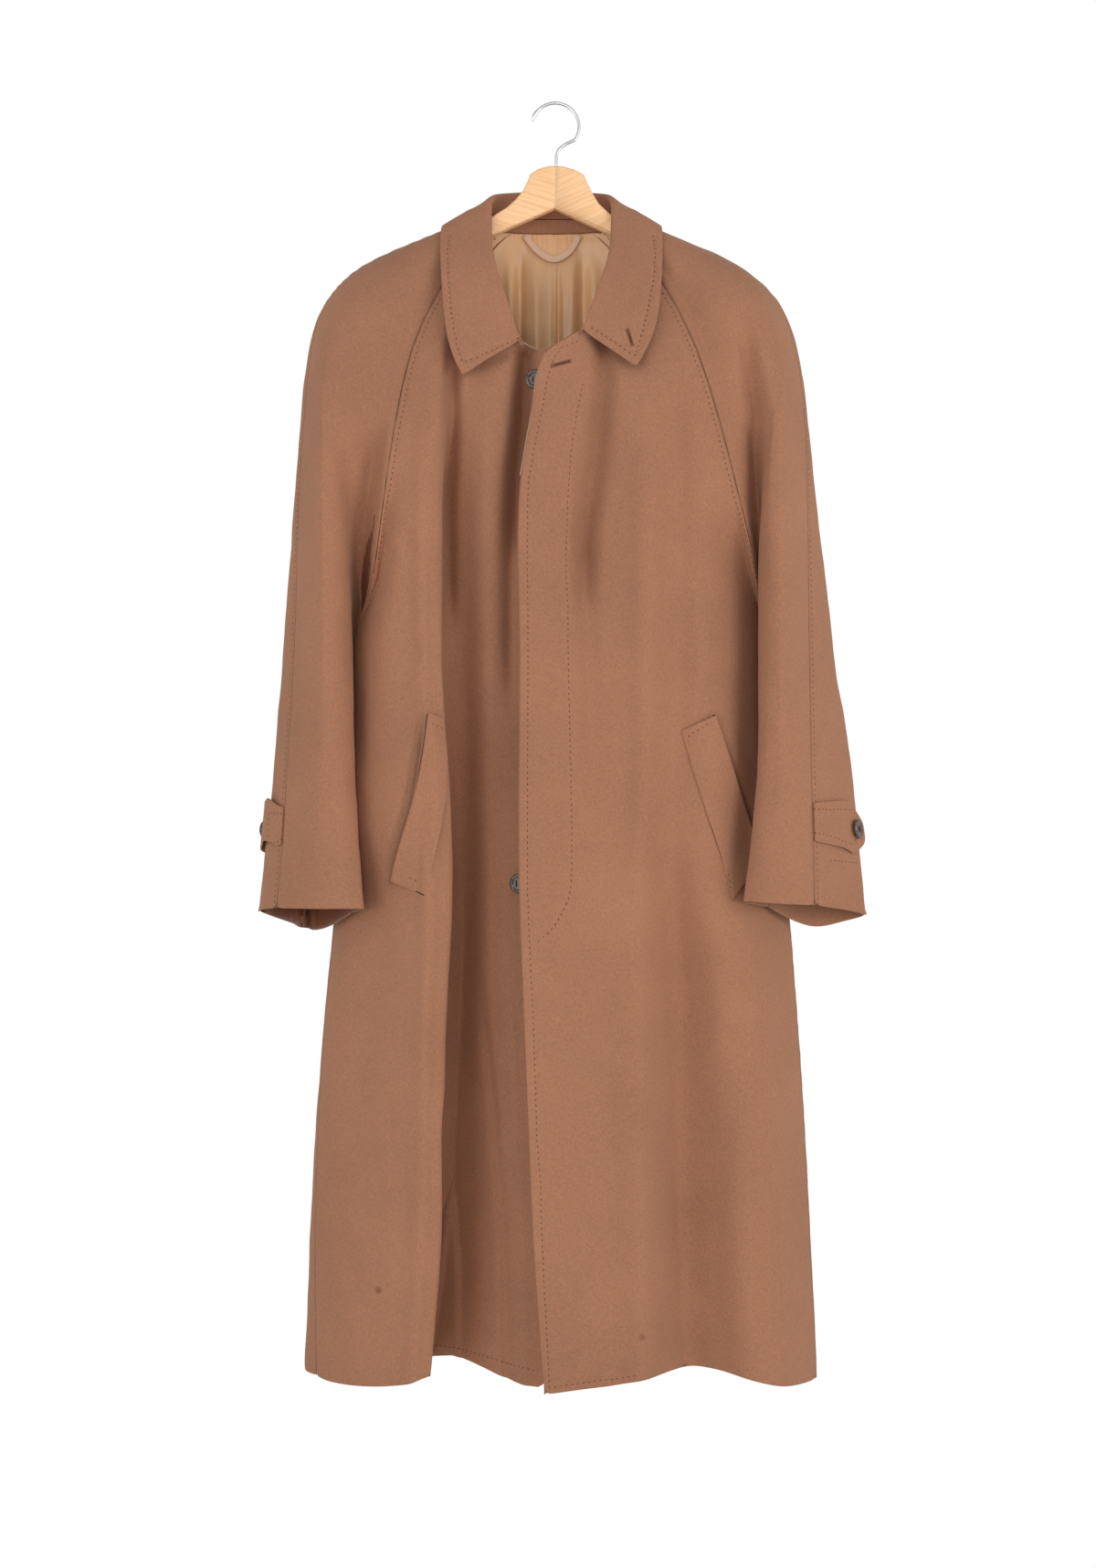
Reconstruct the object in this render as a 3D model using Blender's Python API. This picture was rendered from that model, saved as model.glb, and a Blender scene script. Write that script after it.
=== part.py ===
"""A wool overcoat with raglan sleeves, a fly front and a turned-down collar, on a wooden hanger.

Metres, +Z up. The coat's front faces -Y and the wearer's right side is at -X. The origin is the
underside of the hook's wire at its top, where it hangs on a rail or a peg.

Each panel of cloth is lofted through lines that run down it, such as its edge, a fold's lip or a
seam. A table gives where those lines lie at the coat's stations, from the neck seam to the hem.
Panels that meet share the seam's line, and each is drawn back from it by half of the seam gap.
"""
import math

import bmesh
import bpy
from mathutils import Matrix, Vector
from mathutils.bvhtree import BVHTree

MM = 0.001

# --- Driving sizes --------------------------------------------------------------------------

WOOL = 2.0 * MM                 # melton wool, one layer with its interlining
COLLAR_WOOL = 2.4 * MM          # two layers, pressed
SATIN = 1.0 * MM
FACING_WOOL = 1.2 * MM
LOOP_TAPE = 1.0 * MM
SEAM_GAP = 0.4 * MM             # between the pieces at a seam
COLLAR_GAP = 1.0 * MM           # between the collar and its stand, which meet at a slight angle
LOOP_GAP = 0.7 * MM             # between the hanging loop and the lining that it lies on
LAID_GAP = 1.4 * MM             # between a panel and a piece that is sewn on top of it
WELT_GAP = 1.4 * MM             # the same for the pocket welts, which lie across the panel's bends

ROWS_PER_STATION = 2            # cross sections made between two rows of a table
CENTRE_X = -4 * MM              # the coat hangs a little to the wearer's right of the hook

UNDERARM = 6                    # the station where the raglan seams meet the side seam
NECK_SAG = {1: 1.8, 2: 1.3}     # how much the fronts' first stations hang in a curve like the neck
FLY_END = 9.5                   # the station where the fly's stitching turns to the edge

BUTTON_RADIUS = 10.3 * MM
BUTTON_HEIGHT = 5.2 * MM        # from the cloth to the rim, with the thread shank
TAB_HEIGHT = 40 * MM
TAB_FLARE = 0.34                # how much taller it is where its point begins
WIRE_RADIUS = 1.7 * MM
HOOK_RADIUS = 25.5 * MM
HANGER_THICKNESS = 13 * MM
HANGER_X = 1 * MM
HANGER_LEAN = math.radians(0.7)  # the wearer's right end is up, as both shoulders carry it


# --- Tables ---------------------------------------------------------------------------------
# Each is in millimetres. Rows are stations: 0 is the neck seam, 6 the underarm, 13 the hem.

def lines(text):
    """Read a table of named lines, with x y z for each line in every row."""
    names, *rows = [row.split() for row in text.strip().splitlines()]
    found = {name: [] for name in names}
    for row in rows:
        values = [float(value) * MM for value in row]
        for k, name in enumerate(names):
            found[name].append(Vector(values[3 * k:3 * k + 3]))
    return found


def sections(text):
    """Read a table with a height z and then x y for each named line in every row."""
    (_, *names), *rows = [row.split() for row in text.strip().splitlines()]
    found = []
    for row in rows:
        height, *values = [float(value) * MM for value in row]
        places = {name: Vector((values[2 * k], values[2 * k + 1])) for k, name in enumerate(names)}
        found.append((height, places))
    return names, found


# Where the raglan seams run, front and back, from the neck seam to the underarm.
RAGLAN_RIGHT = lines("""
    front             back
     -84  -14 -135     -64   22 -131
    -122  -35 -204    -118   30 -190
    -151  -56 -274    -148   36 -260
    -168  -70 -359    -166   40 -345
    -180  -71 -440    -180   40 -430
    -193  -52 -521    -195   28 -515
    -204   -5 -568    -204   -5 -568
""")
RAGLAN_LEFT = lines("""
    front             back
      76  -14 -135      56   22 -131
     113  -35 -198     110   30 -188
     146  -56 -268     142   36 -258
     172  -69 -354     168   40 -342
     192  -71 -433     190   40 -425
     209  -53 -492     210   28 -508
     222   -5 -562     222   -5 -562
""")

# The side seams, from the underarm to the hem.
SIDE = lines("""
    right              left
    -204   -5  -568    222   -5  -562
    -211    0  -640    225    0  -640
    -221    0  -740    235    0  -740
    -234    0  -850    249   -2  -850
    -245   -4  -960    258   -4  -960
    -252  -20 -1080    266   -6 -1080
    -255  -30 -1200    272   -8 -1200
    -253  -34 -1355    279  -12 -1364
""")

# The wearer's left front lies on top. Its lines run down its edge, the fly's stitching, the
# soft tuck from under the collar, a crest, the hanging valley, the hip and the flank.
LEFT_NECK = lines("""
    edge          placket       tuck         crest        valley       hip          flank
    -10 -71 -278  12 -70 -264   27 -62 -254  42 -60 -241  55 -56 -224  66 -48 -203  73 -34 -174
""")
LEFT_FRONT = sections("""
       z   edge       placket    tuck       crest      valley     hip        flank
    -300   -19  -72     5  -70    28  -65    50  -63    70  -57    88  -50   101  -43
    -345   -25  -79    18  -79    34  -74    66  -73    90  -71   112  -68   131  -62
    -410   -36  -84    14  -85    28  -80    80  -82   108  -80   134  -77   155  -73
    -480   -39  -88    12  -89    25  -86    83  -88   118  -85   148  -82   172  -77
    -530   -38  -90    12  -91    25  -89    82  -91   121  -88   156  -83   187  -73
    -575   -37  -92    13  -93    26  -92    81  -94   122  -89   159  -84   198  -66
    -640   -37  -94    14  -95    30  -95    81  -96   121  -90   161  -85   203  -58
    -740   -38  -97    16  -98    37  -99    83  -99   119  -88   162  -86   208  -54
    -850   -37 -100    17 -101    45 -102    86 -102   119  -86   165  -88   215  -52
    -960   -33 -102    20 -103    48 -104    87 -104   122  -82   168  -90   222  -54
   -1080   -28 -104    23 -105    51 -106    89 -105   125  -76   172  -90   229  -58
   -1200   -23 -106    26 -107    55 -107    92 -106   128  -70   177  -90   234  -62
   -1350   -12 -108    37 -109    61 -108    95 -106   135  -60   186  -88   241  -68
""")
LEFT_HEM = dict(edge=-1355, placket=-1348, tuck=-1345, crest=-1338, valley=-1341, hip=-1344,
                flank=-1357)

# The wearer's right front hangs in one deep fold: its lip faces the opening, and the wall and
# the trough behind the lip run down to the hem.
RIGHT_NECK = lines("""
  lap        groove      ridge       trough      wall        lip         crest       outer       flank
19 -60 -281 -35 -62 -267 -46 -60 -254 -55 -58 -240 -62 -55 -229 -68 -52 -218 -76 -44 -198 -80 -34 -174 -83 -24 -154
""")
RIGHT_FRONT = sections("""
       z  lap      groove    ridge     trough    wall      lip       crest     outer     flank
    -300  21 -62   -42 -60   -60 -59   -73 -57   -80 -56   -88 -54   -99 -50  -108 -44  -116 -39
    -345  21 -67   -49 -58   -69 -60   -88 -57   -96 -60  -103 -66  -120 -67  -134 -62  -144 -58
    -410  21 -71   -52 -58   -72 -62   -99 -55  -107 -63  -113 -76  -134 -77  -150 -73  -160 -71
    -480  21 -74   -54 -58   -75 -62  -101 -54  -109 -65  -114 -81  -138 -83  -159 -78  -171 -74
    -530  21 -75   -54 -58   -75 -62  -101 -53  -109 -67  -114 -84  -141 -86  -170 -76  -185 -65
    -575  21 -76   -54 -58   -74 -62  -101 -51  -109 -68  -114 -86  -142 -87  -174 -76  -195 -48
    -640  21 -78   -54 -57   -73 -60   -99 -48  -107 -68  -112 -89  -142 -90  -178 -74  -202 -42
    -740  21 -80   -54 -55   -72 -56   -95 -42  -102 -66  -105 -92  -141 -93  -182 -68  -210 -36
    -850  21 -82   -54 -52   -69 -52   -92 -36  -100 -62  -103 -93  -140 -93  -186 -62  -220 -32
    -960  22 -84   -54 -50   -69 -47   -94 -28  -105 -58  -108 -92  -143 -92  -190 -64  -231 -34
   -1080  23 -86   -53 -48   -70 -40  -101 -16  -113 -52  -114 -90  -148 -91  -197 -68  -238 -42
   -1200  26 -88   -51 -46   -74 -32  -113  -2  -123 -43  -122 -86  -153 -88  -202 -72  -240 -48
   -1350  30 -90   -46 -48   -81 -26  -134  18  -138 -34  -134 -80  -161 -84  -208 -72  -240 -52
""")
RIGHT_HEM = dict(lap=-1350, groove=-1350, ridge=-1345, trough=-1342, wall=-1342, lip=-1343,
                 crest=-1352, outer=-1356, flank=-1356)

# The back turns round each side at `turn`, is flat from `corner` on, and reaches `middle`.
BACK = sections("""
    z    turn_r     corner_r   middle   corner_l   turn_l
    0    -58  25    -46  29    -4  34    38  29     50  25
    0   -108  32    -92  34    -4  37    84  34    100  32
    0   -138  37   -120  39    -4  41   112  39    131  37
    0   -156  41   -138  42    -4  44   138  42    157  41
    0   -170  41   -150  43    -4  45   158  43    179  41
    0   -188  34   -172  41    -4  46   186  41    203  34
    0   -204  14   -194  33    -4  47   211  33    222  14
    0   -213  12   -203  34    -4  47   217  34    226  14
    0   -223  12   -213  35    -4  48   227  35    236  14
    0   -236  12   -226  36    -4  49   240  36    249  14
    0   -247  10   -238  38    -4  50   249  38    258  12
    0   -256   4   -246  38    -4  52   256  40    266  12
    0   -264  -1   -252  38    -4  55   262  42    273  12
    0   -269 -10   -256  38    -4  60   268  42    280   8
""")
BACK_FOLDS = (5, -6, 4, -5, 6)  # how far each of the back's soft folds stands out at the hem

# Lines down each sleeve. Down to station 6 they fan from the raglan seam to the shoulder, and
# from there they go round the arm. `under` is the underarm seam, from station 6 to the cuff.
SLEEVE_RIGHT_FRONT = lines("""
    dip               lip               crest             seam
     -85  -9 -129      -85  -6 -125      -84  -3 -121      -83   0 -119
    -130 -36 -186     -136 -32 -170     -140 -20 -154     -142   0 -143
    -163 -55 -243     -173 -50 -213     -181 -32 -182     -183   0 -160
    -186 -66 -310     -200 -64 -262     -213 -44 -212     -217  -1 -179
    -201 -62 -385     -217 -68 -325     -234 -54 -258     -243  -5 -208
    -210 -48 -455     -222 -68 -385     -243 -64 -305     -257 -12 -243
    -214 -36 -515     -219 -68 -450     -243 -76 -370     -266 -20 -320
    -217 -38 -575     -215 -66 -525     -242 -84 -465     -272 -30 -420
    -216 -40 -635     -212 -68 -600     -240 -88 -555     -274 -36 -520
    -214 -46 -705     -209 -73 -685     -240 -91 -650     -277 -44 -620
    -210 -56 -770     -206 -80 -760     -240 -95 -735     -282 -52 -712
    -204 -69 -826     -202 -87 -822     -240 -98 -808     -286 -58 -790
    -200 -76 -860     -199 -90 -858     -240 -99 -858     -292 -64 -859
""")
SLEEVE_RIGHT_BACK = lines("""
    out               back              inner
     -81   7 -121      -76  14 -125      -70  19 -128
    -143  12 -147     -134  24 -161     -127  28 -174
    -184  13 -165     -173  30 -190     -162  35 -222
    -219  14 -185     -209  34 -225     -190  40 -280
    -247  12 -216     -236  38 -270     -210  44 -345
    -264   8 -253     -252  42 -320     -224  46 -410
    -273   3 -325     -259  44 -400     -228  44 -490
    -281   3 -425     -262  44 -490     -232  36 -560
    -289   2 -522     -266  40 -565     -238  32 -615
    -297   1 -622     -272  34 -650     -242  24 -685
    -304   0 -714     -278  26 -735     -244  12 -760
    -311  -4 -792     -282  14 -812     -244  -4 -826
    -317 -14 -865     -280  -4 -879     -250 -20 -886
""")
UNDER_RIGHT = lines("""
    under
    -204  -5 -568
    -219  -5 -615
    -224 -15 -660
    -225 -22 -715
    -224 -34 -775
    -217 -50 -828
    -212 -60 -864
""")
SLEEVE_LEFT_FRONT = lines("""
    dip               lip               crest             seam
      77  -9 -129       77  -6 -125       76  -3 -121       75   0 -119
     121 -36 -182      126 -31 -168      130 -19 -153      132   0 -143
     158 -54 -238      168 -49 -209      175 -31 -180      178   0 -162
     188 -62 -305      201 -63 -258      210 -43 -210      211  -1 -182
     207 -56 -380      216 -68 -320      229 -54 -255      237  -5 -209
     216 -46 -445      219 -70 -380      236 -66 -303      251 -12 -243
     219 -38 -510      213 -70 -446      234 -78 -368      264 -20 -313
     222 -38 -572      210 -70 -525      234 -86 -465      267 -34 -420
     221 -42 -635      210 -72 -600      234 -90 -555      267 -44 -520
     219 -50 -705      209 -77 -685      233 -94 -650      267 -54 -620
     213 -64 -770      205 -83 -760      230 -98 -735      267 -66 -712
     204 -76 -824      198 -89 -820     226 -102 -805      268 -75 -790
     198 -82 -853      194 -93 -850     225 -105 -852      268 -84 -855
""")
SLEEVE_LEFT_BACK = lines("""
    out               back              inner
      73   7 -121       68  14 -125       62  19 -128
     133  12 -147      124  24 -161      117  28 -174
     179  13 -167      168  30 -190      156  35 -220
     214  14 -188      204  34 -226      188  40 -280
     242  12 -217      231  38 -270      212  44 -342
     259   8 -254      248  42 -320      228  46 -405
     271   3 -325      258  44 -400      236  44 -488
     282   3 -425      268  44 -490      246  36 -558
     295   2 -522      278  40 -565      255  32 -612
     307   0 -622      288  36 -650      262  24 -683
     318  -5 -714      300  24 -732      266  12 -757
     326 -15 -795      308  10 -810      266  -4 -824
     331 -25 -868      312  -2 -876      272 -14 -883
""")
UNDER_LEFT = lines("""
    under
     222  -5 -562
     238  -5 -612
     243 -14 -658
     244 -22 -715
     239 -38 -775
     230 -52 -826
     222 -62 -858
""")

# Half of the collar, from its front end to the nape, measured from the coat's middle: the neck
# seam, the roll where the collar turns over, and the fall's outer edge.
COLLAR = lines("""
    ring              roll              edge
      31 -61 -267       31 -65 -262       93 -80 -299
      46 -60 -250       40 -61 -238      107 -74 -268
      62 -54 -222       51 -54 -206      113 -62 -236
      74 -42 -190       60 -43 -176      117 -48 -197
      80 -26 -158       63 -25 -147      119 -31 -157
      80 -12 -133       63 -12 -122      119 -18 -140
      79   0 -119       63   2 -103      118   0 -129
      72  12 -124       59  17  -96      113  24 -140
      48  28 -132       41  34  -90       78  44 -151
       0  34 -133        0  39  -87        0  47 -152
""")
COLLAR_LIFT_LEFT = (13, 11, 7, 3, 1, 0, 0, 0, 0, 0)   # the left end sits higher, in millimetres
FOLD_RADIUS = (3, 3.5, 4, 4.5, 4.5, 4.5, 4.5, 4.5, 5, 5.5)
STAND_SHARE = 0.38              # of the way from the neck seam to the roll

# The pocket openings slant down to the side seam: x and z of the opening's edge and of the seam.
WELT_RIGHT = [((-130, -656), (-116, -662)), ((-136, -704), (-112, -712)),
              ((-148, -765), (-117, -769)), ((-167, -830), (-134, -845))]
WELT_LEFT = [((161, -658), (130, -674)), ((173, -697), (141, -717)),
             ((188, -745), (156, -768)), ((210, -811), (183, -849))]


# --- Curves and lofted grids ------------------------------------------------------------------

def blend(first, second, share):
    return first + (second - first) * share


def spline_point(points, share):
    """Return the point at `share` between the middle two of four points, on a smooth curve."""
    knots = [0.0]
    for near, far in zip(points, points[1:]):
        knots.append(knots[-1] + max(math.sqrt((far - near).length), 1e-6))
    t = knots[1] + (knots[2] - knots[1]) * share
    level = list(points)
    for span in (1, 2):
        level = [
            blend(level[k], level[k + 1], (t - knots[k]) / (knots[k + span] - knots[k]))
            for k in range(len(level) - 1)
        ]
    return blend(level[0], level[1], (t - knots[1]) / (knots[2] - knots[1]))


def curve(points, steps, before=None, after=None):
    """Return points along a smooth curve through `points`, `steps` of them in each interval.

    `before` and `after` are points past the curve's ends that set its direction there.
    """
    first = before if before is not None else points[0] * 2 - points[1]
    last = after if after is not None else points[-1] * 2 - points[-2]
    padded = [first, *points, last]
    found = []
    for k in range(len(points) - 1):
        for step in range(steps):
            found.append(spline_point(padded[k:k + 4], step / steps))
    return found + [points[-1].copy()]


def down(points):
    """Return a line of the coat with its cross sections between the stations."""
    return curve(points, ROWS_PER_STATION)


def joined(upper, lower):
    """Return a seam that has a corner where its upper part meets its lower part."""
    return down(upper)[:-1] + down(lower)


def loft(rails, across, before=None, after=None):
    """Return a grid of points, one row for each cross section through the lines in `rails`."""
    grid = []
    for k, points in enumerate(zip(*rails)):
        ghost_before = before[k] if before else None
        ghost_after = after[k] if after else None
        grid.append(curve(list(points), across, ghost_before, ghost_after))
    return grid


def row_of(station):
    return round(station * ROWS_PER_STATION)


# --- Walls of cloth -------------------------------------------------------------------------

def key_of(point):
    return tuple(round(value / (0.01 * MM)) for value in point)


def grid_normals(grid):
    """Return the unit normal of each point of a grid, from the cells around it."""
    rows, columns = len(grid), len(grid[0])
    normals = [[Vector() for _ in range(columns)] for _ in range(rows)]
    for i in range(rows - 1):
        for j in range(columns - 1):
            diagonal = grid[i + 1][j + 1] - grid[i][j]
            other = grid[i + 1][j] - grid[i][j + 1]
            cell = diagonal.cross(other)
            for point in ((i, j), (i + 1, j), (i, j + 1), (i + 1, j + 1)):
                normals[point[0]][point[1]] += cell
    return [[normal.normalized() for normal in row] for row in normals]


def shared_normals(grids, forks):
    """Return the normals of named grids, with one normal wherever their points meet.

    At a fork, where the sleeve parts from the body, the body's panels and the sleeve's have a
    normal each, and their points there move apart.
    """
    fork_keys = {key_of(point) for point in forks}

    def place(name, point):
        key = key_of(point)
        return (key, name.startswith("sleeve")) if key in fork_keys else key

    totals = {}
    for name, grid in grids.items():
        for points, row in zip(grid, grid_normals(grid)):
            for point, normal in zip(points, row):
                key = place(name, point)
                totals[key] = totals.get(key, Vector()) + normal
    found = {
        name: [[totals[place(name, point)].normalized() for point in row] for row in grid]
        for name, grid in grids.items()
    }
    for name, grid in grids.items():
        for points, row in zip(grid, found[name]):
            for point, normal in zip(points, row):
                if key_of(point) in fork_keys:
                    point -= normal * SEAM_GAP
    return found


def drawn_back(grid, normals, amount):
    """Return the grid with its four edges drawn back into the cloth by `amount`."""
    rows, columns = len(grid), len(grid[0])
    moved = [[point.copy() for point in row] for row in grid]

    def draw(i, j, inside, along):
        way = along.cross(normals[i][j]).normalized()
        if way.dot(inside - grid[i][j]) < 0:
            way = -way
        moved[i][j] += way * amount

    for i in range(rows):
        along = grid[min(i + 1, rows - 1)][0] - grid[max(i - 1, 0)][0]
        draw(i, 0, grid[i][1], along)
        along = grid[min(i + 1, rows - 1)][-1] - grid[max(i - 1, 0)][-1]
        draw(i, columns - 1, grid[i][-2], along)
    for j in range(columns):
        along = grid[0][min(j + 1, columns - 1)] - grid[0][max(j - 1, 0)]
        draw(0, j, grid[1][j], along)
        along = grid[-1][min(j + 1, columns - 1)] - grid[-1][max(j - 1, 0)]
        draw(rows - 1, j, grid[-2][j], along)
    return moved


def moved_out(grid, normals, amount):
    return [
        [point + normal * amount for point, normal in zip(points, row)]
        for points, row in zip(grid, normals)
    ]


def closed_wall(name, outside, inside, material):
    """Make one closed solid between two grids of the same size."""
    mesh = bmesh.new()
    rows, columns = len(outside), len(outside[0])
    layers = [[[mesh.verts.new(p) for p in row] for row in grid] for grid in (outside, inside)]
    for layer in layers:
        for i in range(rows - 1):
            for j in range(columns - 1):
                mesh.faces.new((layer[i][j], layer[i][j + 1], layer[i + 1][j + 1], layer[i + 1][j]))
    rim = [(0, j) for j in range(columns)] + [(i, columns - 1) for i in range(1, rows)]
    rim += [(rows - 1, j) for j in range(columns - 2, -1, -1)] + [(i, 0) for i in range(rows - 2, 0, -1)]
    top, bottom = layers
    for (i, j), (k, m) in zip(rim, rim[1:] + rim[:1]):
        mesh.faces.new((top[i][j], top[k][m], bottom[k][m], bottom[i][j]))
    bmesh.ops.recalc_face_normals(mesh, faces=mesh.faces)
    if mesh.calc_volume(signed=True) < 0:
        bmesh.ops.reverse_faces(mesh, faces=mesh.faces)
    return finished(name, mesh, material)


def cloth(name, grid, normals, thickness, material, lift=0.0, draw=SEAM_GAP / 2):
    """Make a panel: its outer face is the grid moved out by `lift`, its wall goes inwards."""
    trimmed = drawn_back(grid, normals, draw)
    outside = moved_out(trimmed, normals, lift)
    inside = moved_out(trimmed, normals, lift - thickness)
    return closed_wall(name, outside, inside, material)


def finished(name, mesh, material, sharp=50):
    """Turn a bmesh into a named object with smooth round stretches."""
    data = bpy.data.meshes.new(name)
    mesh.to_mesh(data)
    mesh.free()
    data.materials.append(material)
    data.shade_smooth()
    data.set_sharp_from_angle(angle=math.radians(sharp))
    made = bpy.data.objects.new(name, data)
    bpy.context.collection.objects.link(made)
    return made


def make_material(name, colour, roughness, metallic=0.0):
    material = bpy.data.materials.new(name)
    material.use_nodes = True
    shader = material.node_tree.nodes["Principled BSDF"]
    shader.inputs["Base Color"].default_value = (*colour, 1.0)
    shader.inputs["Roughness"].default_value = roughness
    shader.inputs["Metallic"].default_value = metallic
    return material


# --- Lines of each panel --------------------------------------------------------------------

def front_rails(neck, table, hem, outer):
    """Return the lines of a front as points at each station, with its outer seam last."""
    names, rows = table
    rails = {name: [neck[name][0]] for name in names}
    for station, (height, places) in enumerate(rows, start=1):
        start_x = places[names[0]].x
        for name in names:
            place = places[name]
            share = (place.x - start_x) / (outer[station].x - start_x)
            z = height + (outer[station].z - height) * share ** NECK_SAG.get(station, 1)
            if station == len(rows):
                z = hem[name] * MM
            rails[name].append(Vector((place.x, place.y, z)))
    return [rails[name] for name in names]


def back_rails(right, left):
    """Return the lines of the back at each station, from its right seam to its left seam."""
    names, rows = BACK
    rails = [list(right)]
    rails += [[] for _ in range(4 + len(BACK_FOLDS))]
    last = len(rows) - 1
    for station, (_, places) in enumerate(rows):
        first, end = right[station], left[station]
        corner_r, corner_l, middle = places["corner_r"], places["corner_l"], places["middle"]
        across = [places["turn_r"], corner_r]
        growth = (station / last) ** 1.5
        for k, fold in enumerate(BACK_FOLDS, start=1):
            share = k / (len(BACK_FOLDS) + 1)
            flat = blend(corner_r, corner_l, share)
            bulge = 1 - abs(2 * share - 1) ** 3
            y = blend(flat.y, middle.y, bulge) + fold * MM * growth
            across.append(Vector((flat.x, y)))
        across += [corner_l, places["turn_l"]]
        for rail, place in zip(rails[1:], across):
            share = (place.x - first.x) / (end.x - first.x)
            rail.append(Vector((place.x, place.y, blend(first.z, end.z, min(max(share, 0), 1)))))
    return rails + [list(left)]


def neck_seam(grids):
    """Return the neck seam's points on the panels, from the right collar end to the left one."""
    right_end, left_end = 2, 4      # columns of the fronts where the collar starts
    tops = {name: [point.copy() for point in grid[0]] for name, grid in grids.items()}
    for name in ("front_left", "sleeve_left_front", "sleeve_left_back"):
        tops[name].reverse()
    seam = tops["front_right"][right_end:-1]
    seam += tops["sleeve_right_front"][:-1:2] + tops["sleeve_right_back"][:-1:2]
    seam += tops["back"][:-1]
    seam += tops["sleeve_left_back"][:0:-2] + tops["sleeve_left_front"][:0:-2]
    return seam + tops["front_left"][:left_end - 1:-1]


def collar_guides():
    """Return samples of the neck seam's line, the roll's and the fall's edge, all the way round."""
    radii = [Vector((radius * MM, 0, 0)) for radius in FOLD_RADIUS]
    full = {}
    for name in ("ring", "roll", "edge", "radius"):
        half = radii if name == "radius" else COLLAR[name]
        if name == "radius":
            right, left = half, half
        else:
            right = [Vector((CENTRE_X - p.x, p.y, p.z)) for p in half]
            left = [
                Vector((CENTRE_X + p.x, p.y, p.z + lift * MM))
                for p, lift in zip(half, COLLAR_LIFT_LEFT)
            ]
        full[name] = curve(right + left[-2::-1], 12)
    return list(zip(*(full[name] for name in ("ring", "roll", "edge", "radius"))))


def collar_grids(seam):
    """Return the grid of the stand on the neck seam, and that of the collar above it."""
    guides = collar_guides()
    near = [min(guides, key=lambda guide: (guide[0] - point).length) for point in seam]
    upright = grid_normals([[point, roll] for point, (_, roll, _, _) in zip(seam, near)])
    stand = [
        [blend(point, roll + way[1] * COLLAR_WOOL, share * STAND_SHARE) for share in (0, 0.5, 1)]
        for point, way, (_, roll, _, _) in zip(seam, upright, near)
    ]
    ways = grid_normals(stand)
    rows = []
    for stand_row, way_row, (_, roll, edge, radius) in list(zip(stand, ways, near))[::2]:
        radius = radius.x
        outward = Vector((edge.x - roll.x, edge.y - roll.y, 0)).normalized()
        over = roll + outward * radius * 2 + (edge - roll).normalized() * radius * 0.6
        rows.append([
            stand_row[-1] - way_row[-1] * COLLAR_WOOL,
            roll,
            roll + outward * radius * 0.9 + Vector((0, 0, radius)),
            over,
            blend(over, edge, 0.5) + Vector((0, -1, 1)) * 1.5 * MM * abs(outward.x),
            edge,
        ])
    return stand, [curve(row, 2) for row in rows]


# --- Parts that are not cloth panels ----------------------------------------------------------

def turned(name, profile, material, place, facing, sides=16):
    """Turn a profile of (radius, height) about an axis through `place` that points at `facing`."""
    mesh = bmesh.new()
    points = [mesh.verts.new((radius, 0, height)) for radius, height in profile]
    edges = [mesh.edges.new(pair) for pair in zip(points, points[1:])]
    bmesh.ops.spin(
        mesh, geom=points + edges, axis=(0, 0, 1), cent=(0, 0, 0), angle=2 * math.pi,
        steps=sides, use_merge=True,
    )
    bmesh.ops.remove_doubles(mesh, verts=mesh.verts, dist=0.001 * MM)
    bmesh.ops.recalc_face_normals(mesh, faces=mesh.faces)
    made = finished(name, mesh, material, sharp=35)
    made.matrix_world = Matrix.Translation(place) @ facing.to_track_quat("Z", "Y").to_matrix().to_4x4()
    return made


def button(name, place, facing, material):
    """Make a four-hole horn button's disc on its thread shank, seated on the cloth at `place`."""
    rim, seat = BUTTON_RADIUS, 0.6 * MM
    under = BUTTON_HEIGHT - 3.2 * MM
    profile = [
        (0, seat), (1.6 * MM, seat), (1.6 * MM, under), (rim - 1.6 * MM, under),
        (rim, under + 1.2 * MM), (rim, BUTTON_HEIGHT - 0.8 * MM), (rim - 1 * MM, BUTTON_HEIGHT),
        (rim - 3.2 * MM, BUTTON_HEIGHT - 0.9 * MM), (0, BUTTON_HEIGHT - 1.2 * MM),
    ]
    return turned(name, profile, material, place, facing)


def surface(grid):
    """Return a tree of a grid's cells, to find the cloth's points by their x and z."""
    columns = len(grid[0])
    points = [point for row in grid for point in row]
    cells = [
        (i * columns + j, i * columns + j + 1, (i + 1) * columns + j + 1, (i + 1) * columns + j)
        for i in range(len(grid) - 1) for j in range(columns - 1)
    ]
    return BVHTree.FromPolygons(points, cells)


def seen_point(tree, x, z):
    """Return the foremost point of the cloth at x and z, and the way that it faces there."""
    point, normal, _, _ = tree.ray_cast(Vector((x, -1, z)), Vector((0, 1, 0)))
    return point, normal if normal.y < 0 else -normal


def welt(name, outline, tree, material):
    """Make a pocket welt: the cloth's own points under its outline, moved out."""
    sides = []
    for side in range(2):
        sides.append(curve([Vector((row[side][0] * MM, 0, row[side][1] * MM)) for row in outline], 5))
    grid = []
    for opening, seam in zip(*sides):
        row = []
        for k in range(7):
            flat = blend(opening, seam, k / 6)
            row.append(seen_point(tree, flat.x, flat.z)[0])
        grid.append(row)
    if grid_normals(grid)[3][3].y > 0:
        grid = [row[::-1] for row in grid]
    return cloth(name, grid, grid_normals(grid), WOOL, material, lift=WELT_GAP + WOOL, draw=0)


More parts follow.
